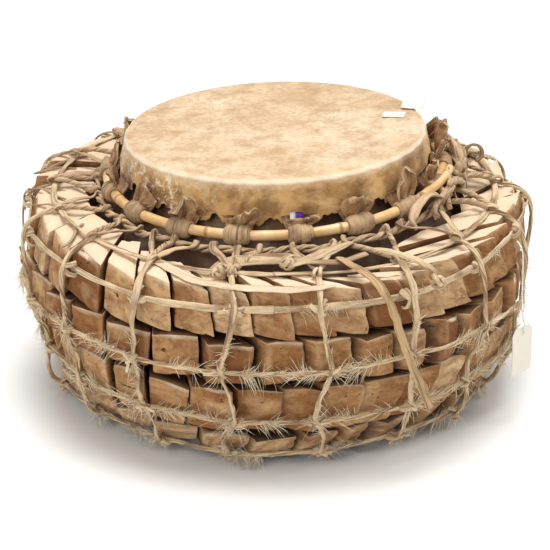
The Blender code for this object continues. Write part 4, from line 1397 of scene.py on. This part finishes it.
def make_lacing():
    """Loops from the twisted ring out to the net's top ring, a few at each upright."""
    for number in range(UPRIGHTS):
        pile = Pile()
        low = upright_bearing(number)
        for side in (-1, 1, chance.uniform(-0.6, 0.6))[:2 + (chance.random() < 0.4)]:
            high = low + side * chance.uniform(3.5, 9.5)
            up = chance.uniform(-0.001, 0.002)
            start = beside_mouth_ring(high - side, -0.0046, -0.0005)
            over = beside_mouth_ring(high, 0.0008, 0.0062 + up)
            down = beside_mouth_ring(high - side * 0.5, 0.0068, 0.0022)
            knot = settled(at(low + side * 0.8, 0.2335, 0.2118))
            middle = (down + knot) / 2 + UP * chance.uniform(0.0005, 0.003)
            lace(pile, [start, over, down, middle, knot], chance.uniform(0.0060, 0.0088),
                 number + side * 0.3)
        strips = pile.build(f"lacing_{number + 1:02d}", LACE, None, ["hoop_lacing"])
        inner, outer = at(low, 0.1990, 0.21), at(low, 0.2270, 0.21)
        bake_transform(strips)


# Broad straps at the front, from the lacing over the gap: width, tone, the way that they face
# (up if None, or away from this height on the axis), then bearing, radius and height of places.
FRONT_STRAPS = (
    (0.0120, 0.35, None, (-15, 0.2330, 0.2105), (-12, 0.2180, 0.2150), (-5, 0.2110, 0.2170),
     (4, 0.2110, 0.2180), (9, 0.2180, 0.2170)),
    (0.0105, 0.2, None, (-14, 0.2340, 0.2110), (-9, 0.2260, 0.2155), (-2, 0.2210, 0.2170),
     (5, 0.2200, 0.2180)),
    (0.0130, 0.3, None, (3, 0.2290, 0.2160), (9, 0.2200, 0.2200), (15, 0.2080, 0.2210),
     (22, 0.1980, 0.2220)),
    (0.0100, 0.1, None, (5, 0.2240, 0.2180), (12, 0.2280, 0.2180), (17, 0.2260, 0.2160),
     (24, 0.2180, 0.2170)),
    (0.0062, 0.5, 0.12, (25, 0.2130, 0.2180), (29, 0.2330, 0.2200), (33, 0.2560, 0.2150),
     (35.0, 0.2720, 0.2050), (35.6, 0.2790, 0.1900)),
)
FRONT_KNOTS = ((3.0, 0.2240, 0.2185), (-12.5, 0.2360, 0.2125), (34.5, 0.2760, 0.2010))
BAND_BEARINGS = (-33, -27, -18, -9, 2, 13)
BAND_RADII = (0.230, 0.238, 0.250, 0.2560, 0.2580, 0.2560)


def make_front_straps():
    """Layered straps and big knots across the gap at the front."""
    pile = Pile()
    for index, (width, tone, origin, *places) in enumerate(FRONT_STRAPS):
        route = curve_through([at(*place) for place in places])
        count = len(route)
        facing = UP if origin is None else unit(route - UP * origin)
        sweep(pile, route, facing, width * taper(count, 0.75), 0.0025, sides=12, tone=tone,
              roll=0.35 * wander(count, 0.05, index + 2.5), seed=index * 3.1, uneven=0.14)
    cosine, sine = columns_of(np.linspace(0, 2 * math.pi, 22))
    for index, place in enumerate(at(*place) for place in FRONT_KNOTS):
        for turn in range(5):
            first, second = unit(chance.normal(size=(2, 3)))
            second = unit(np.cross(first, second))
            ring = place + (cosine * first + sine * second * 0.7) * 0.0068
            ring += chance.normal(0, 0.0014, 3)
            sweep(pile, ring, ring - place, 0.0048, 0.0022, sides=8,
                  tone=chance.uniform(0.3, 0.7), seed=index + turn * 0.3, uneven=0.2)
    pile.build("front_straps", RAWHIDE, "drum")


def make_pale_band(ground):
    """The broad pale band that lies on the tops of the first tier at the front left."""
    bearings = np.linspace(BAND_BEARINGS[0], BAND_BEARINGS[-1], 110)
    radii = np.interp(bearings, BAND_BEARINGS, BAND_RADII)
    heights = ground.tops(bearings, radii, 0.195, out=0.0035)
    path = at(bearings, radii, taut(heights, closed=False, rounds=60) + 0.0012)
    count = len(path)
    wide = (0.0090 + 0.0040 * wander(count, 0.05, 77)) * taper(count, 0.25, 14)
    band = Pile()
    sweep(band, path, at(bearings, 0.25, 1.0), wide, 0.0014, roll=0.15 * wander(count, 0.04, 78),
          sides=12, tone=0.42, seed=6.5, uneven=0.3)
    band.build("pale_band", PALE_HIDE, "drum")


def make_shoulder_strips(ground):
    """Strips that run slantwise over the first tier's tops, from the lacing out to the net."""
    pile = Pile()
    for index in range(12):
        first = chance.uniform(-118, -48) if index < 5 else chance.uniform(105, 225)
        swing = chance.choice([-1, 1]) * chance.uniform(3, 15)
        steps = 40
        share = np.linspace(0, 1, steps)
        bearings = first + swing * share + 0.8 * np.sin(share * 6 + index)
        radii = 0.2240 + (0.0400 + chance.uniform(-0.004, 0.003)) * share
        heights = ground.tops(bearings, radii, 0.190, turn=0.6)
        path = at(bearings, radii, taut(heights, closed=False, rounds=30) + 0.0012)
        roll = 0.8 * wander(steps, 0.09, index + 5.5)
        sweep(pile, path, UP, chance.uniform(0.0028, 0.0044) * taper(steps, 0.6), 0.0018,
              roll=roll, sides=8, tone=chance.uniform(0.0, 0.4), seed=index * 1.9, uneven=0.2)
    pile.build("shoulder_strips", LACE, "drum")


def make_tangle():
    """Thong ends looped over each other where the cane's lapped end is tied, at the right."""
    pile = Pile()
    for index in range(20):
        first = chance.uniform(58, 98)
        last = first + chance.uniform(-16, 16)
        top = chance.uniform(0.002, 0.022)
        middle = (first + last) / 2 + chance.uniform(-5, 5)
        lace(pile, [
            beside_mouth_ring(first, 0.001, -0.001),
            beside_mouth_ring(first, 0.006, 0.010 + top * 0.4),
            beside_mouth_ring(middle, chance.uniform(-0.004, 0.010), 0.011 + top),
            beside_mouth_ring(last, chance.uniform(0.006, 0.015), 0.008 + top * 0.3),
            beside_mouth_ring(last, 0.013, -0.002)], chance.uniform(0.0072, 0.0108), 40.0 + index)
    pile.build("side_tangle", LACE, "hoop")


# --- Loose pieces -------------------------------------------------------------------------------
STRAP_WIDTH, STRING_WIDTH = 0.0104, 0.0016


def make_strap():
    """The loose strap: flat rawhide, turned over once on its way, with a cut end."""
    route = curve_through([settled(at(*place)) for place in STRAP_ROUTE], 0.0022)
    count = len(route)
    share = np.linspace(0, 1, count)
    out = at(np.full(count, 24.0), 1.0, 0.0)
    facing = unit(out * share[:, None] ** 0.5 + UP * (1 - share[:, None]) ** 0.5)
    wide = STRAP_WIDTH + 0.0022 * wander(count, 0.05, 4)
    wide = wide * np.interp(share, [0, 0.1, 0.9, 1], [0.95, 1, 1, 0.8])
    roll = np.interp(share, [0, 0.3, 0.42, 0.62, 1], [0.3, 0.1, 0.0, 0.4, -0.2])
    pile = Pile()
    sweep(pile, route, facing, wide, 0.0026, roll=roll, sides=12, tone=0.55, seed=8.0, uneven=0.3)
    strap = pile.build("loose_strap_hide", STRAP_HIDE, "drum", ["loose_strap"])


def make_curled_end():
    middle, size = at(95.0, 0.2150, 0.2405), 0.0085
    across = at(95.0, 1.0, 0.0)
    turns = np.radians(-80 + 36 * np.arange(9))
    route = [middle + across * size * math.cos(t) + np.array([0, 0.0012 * i, size * math.sin(t)])
             for i, t in enumerate(turns)]
    path = curve_through(route, 0.0016)
    pile = Pile()
    away = unit(path - middle)
    sweep(pile, path, away, 0.0078 * taper(len(path), 0.5), 0.0026, sides=10, tone=0.35, seed=3.3)
    pile.build("curled_strip", LACE, "drum", ["curled_end"])


def make_tag():
    """A blank paper tag with clipped corners and a reinforced hole, on a cotton string."""
    width, height, thick = TAG_SIZE
    clip, columns, rows = 0.006, 13, 21
    top = at(TAG_BEARING, *TAG_TOP)
    facing = at(TAG_FACING, 1.0, 0.0)
    across = sideways(facing)
    sheet = []
    for share in np.linspace(0, 1, rows):
        drop = height * share
        half = width / 2 - max(0, clip - drop)
        side = np.linspace(-1, 1, columns) * half
        bow = 0.0012 * np.sin(share * 2.6) - 0.0008 * (side / half) ** 2
        sheet.append(top + across * side[:, None] + facing * bow[:, None] - UP * drop)
    pile = Pile()
    thick_sheet(pile, np.stack(sheet)[:, ::-1], thick * 0.7)
    tag = pile.build("blank_tag", PAPER, "tag", ["swing_tag"])
    eye = Pile()
    angle = np.linspace(0, 2 * math.pi, 25)[:-1]
    hole = top - UP * 0.0065
    ring = (hole + facing * 0.0010 + across * (np.cos(angle) * 0.0030)[:, None]
            + UP * (np.sin(angle) * 0.0030)[:, None])
    sweep(eye, ring, facing, 0.0016, 0.0008, closed=True, sides=8)
    eye.build("tag_eyelet", PAPER, "tag")
    route = curve_through([
        at(TAG_BEARING, 0.2765, 0.2010), at(TAG_BEARING, 0.2805, 0.1960),
        at(TAG_BEARING, 0.2833, 0.1870), at(TAG_BEARING, 0.2845, 0.1650),
        at(TAG_BEARING, 0.2852, 0.1400), at(TAG_BEARING, 0.2872, 0.1200),
        top + facing * 0.0018 + UP * 0.003, hole + facing * 0.0016], 0.0016)
    cord = Pile()
    sweep(cord, route, facing, STRING_WIDTH, STRING_WIDTH, sides=8, shape=1.0)
    string = cord.build("tag_cotton_string", STRING, "tag", ["tag_string"])


LABEL_SIZE, LABEL_TURN = (0.024, 0.017), math.radians(-12)
# Each label: the name, its middle (its height is from the head's plane), its tilt, its CAD node.
LABELS = (
    ("head_sticker", (0.127, 0.0255, 0.0005), 0.0, "stock_label"),
    ("rim_sticker", (0.1487, 0.047, 0.0032), 8.0, "rim_label"),
)


def make_labels():
    long, wide = LABEL_SIZE
    x, y = np.meshgrid(np.linspace(-long / 2, long / 2, 11), np.linspace(-wide / 2, wide / 2, 8))
    flat_x = x * math.cos(LABEL_TURN) - y * math.sin(LABEL_TURN)
    flat_y = x * math.sin(LABEL_TURN) + y * math.cos(LABEL_TURN)
    for name, centre, tilt, node in LABELS:
        lift = y * math.tan(math.radians(tilt)) + (0.0012 * (x / long * 2) ** 2 if tilt else 0)
        place = np.stack([flat_x + centre[0], flat_y + centre[1],
                          lift + HEAD_HEIGHT + centre[2]], -1)
        pile = Pile()
        thick_sheet(pile, raised(place, HEAD_SLOPE)[::-1], 0.0004)
        pile.build(name, PAPER, "drum", [node])


def make_ribbon():
    """A scrap of ribbon caught in the tab that is cut low."""
    share = np.linspace(0, 1, 12)
    rows = [beside_hoop(5.0 + 4.4 * share, -0.0078 + 0.0012 * np.sin(share * 9), up)
            for up in np.linspace(0.0125, 0.0200, 5)]
    ribbon = Pile()
    thick_sheet(ribbon, np.stack(rows), 0.0005)
    ribbon.build("caught_ribbon", RIBBON, "drum", ["ribbon_scrap"])


# --- Stage --------------------------------------------------------------------------------------
FLOOR_SIZE, FLOOR_COLOUR = 80, (0.93, 0.915, 0.895, 1)
ROOM_LIGHT = 0.40
LIT_PLACE = Vector((0, 0, 0.1))
# Each lamp: kind, power, size (metres, or radians for a sun) and place.
LAMPS = {
    "overhead": ("SUN", 2.75, math.radians(34), (0.05, 0.35, 2.4)),
    "front": ("AREA", 14, 1.0, (-0.8, -1.6, 1.2)),
    "right": ("AREA", 11, 1.0, (1.5, -0.4, 1.6)),
}
LENS, SENSOR = 120.4, 36.0  # millimetres
CAMERA_PLACE, CAMERA_PITCH = (0.0, -1.841, 0.9155), 23.72


def make_stage():
    """A plain pale floor in soft white light that comes mostly from above."""
    bpy.ops.mesh.primitive_plane_add(size=FLOOR_SIZE, location=(0, 0, -0.0002))
    floor = bpy.context.object
    floor.name = "floor"
    plain = Graph("pale_floor", roughness=0.30, specular=0.5, Base_Color=FLOOR_COLOUR)
    floor.data.materials.append(plain.material)

    world = bpy.data.worlds.new("studio")
    world.use_nodes = True
    background = world.node_tree.nodes["Background"].inputs
    background["Color"].default_value = (1.0, 1.0, 1.0, 1)
    background["Strength"].default_value = ROOM_LIGHT
    bpy.context.scene.world = world
    for name, (kind, power, size, place) in LAMPS.items():
        lamp = bpy.data.lights.new(name, kind)
        lamp.energy = power
        setattr(lamp, "angle" if kind == "SUN" else "size", size)
        light = bpy.data.objects.new(name, lamp)
        light.location = place
        light.rotation_euler = (LIT_PLACE - light.location).to_track_quat("-Z", "Y").to_euler()
        bpy.context.scene.collection.objects.link(light)


def make_camera():
    """On the drum's front, looking down at it from a little over its own height."""
    lens = bpy.data.cameras.new("camera")
    lens.lens, lens.sensor_width = LENS, SENSOR
    camera = bpy.data.objects.new("camera", lens)
    camera.location = CAMERA_PLACE
    camera.rotation_euler = (math.radians(90 - CAMERA_PITCH), 0, 0)
    bpy.context.scene.collection.objects.link(camera)
    bpy.context.scene.camera = camera
    bpy.context.scene.view_settings.view_transform = "Standard"


make_camera()
make_stage()
block_mesh = make_blocks()
shell_mesh = make_shell()
net_ground = Ground(block_mesh, shell_mesh)
make_head()
make_hoop()
make_bindings()
make_tabs()
bristles = Pile()
for ring in range(len(NET_RING_HEIGHTS)):
    make_net_ring(net_ground, ring, bristles)
for upright in range(UPRIGHTS):
    make_upright(net_ground, upright, bristles)
bristles.build("hide_bristles", HAIR, "drum")
make_top_and_foot_rings(net_ground)
make_mouth_ring()
make_lacing()
make_front_straps()
make_pale_band(net_ground)
make_shoulder_strips(net_ground)
make_tangle()
make_strap()
make_curled_end()
make_tag()
make_labels()
make_ribbon()
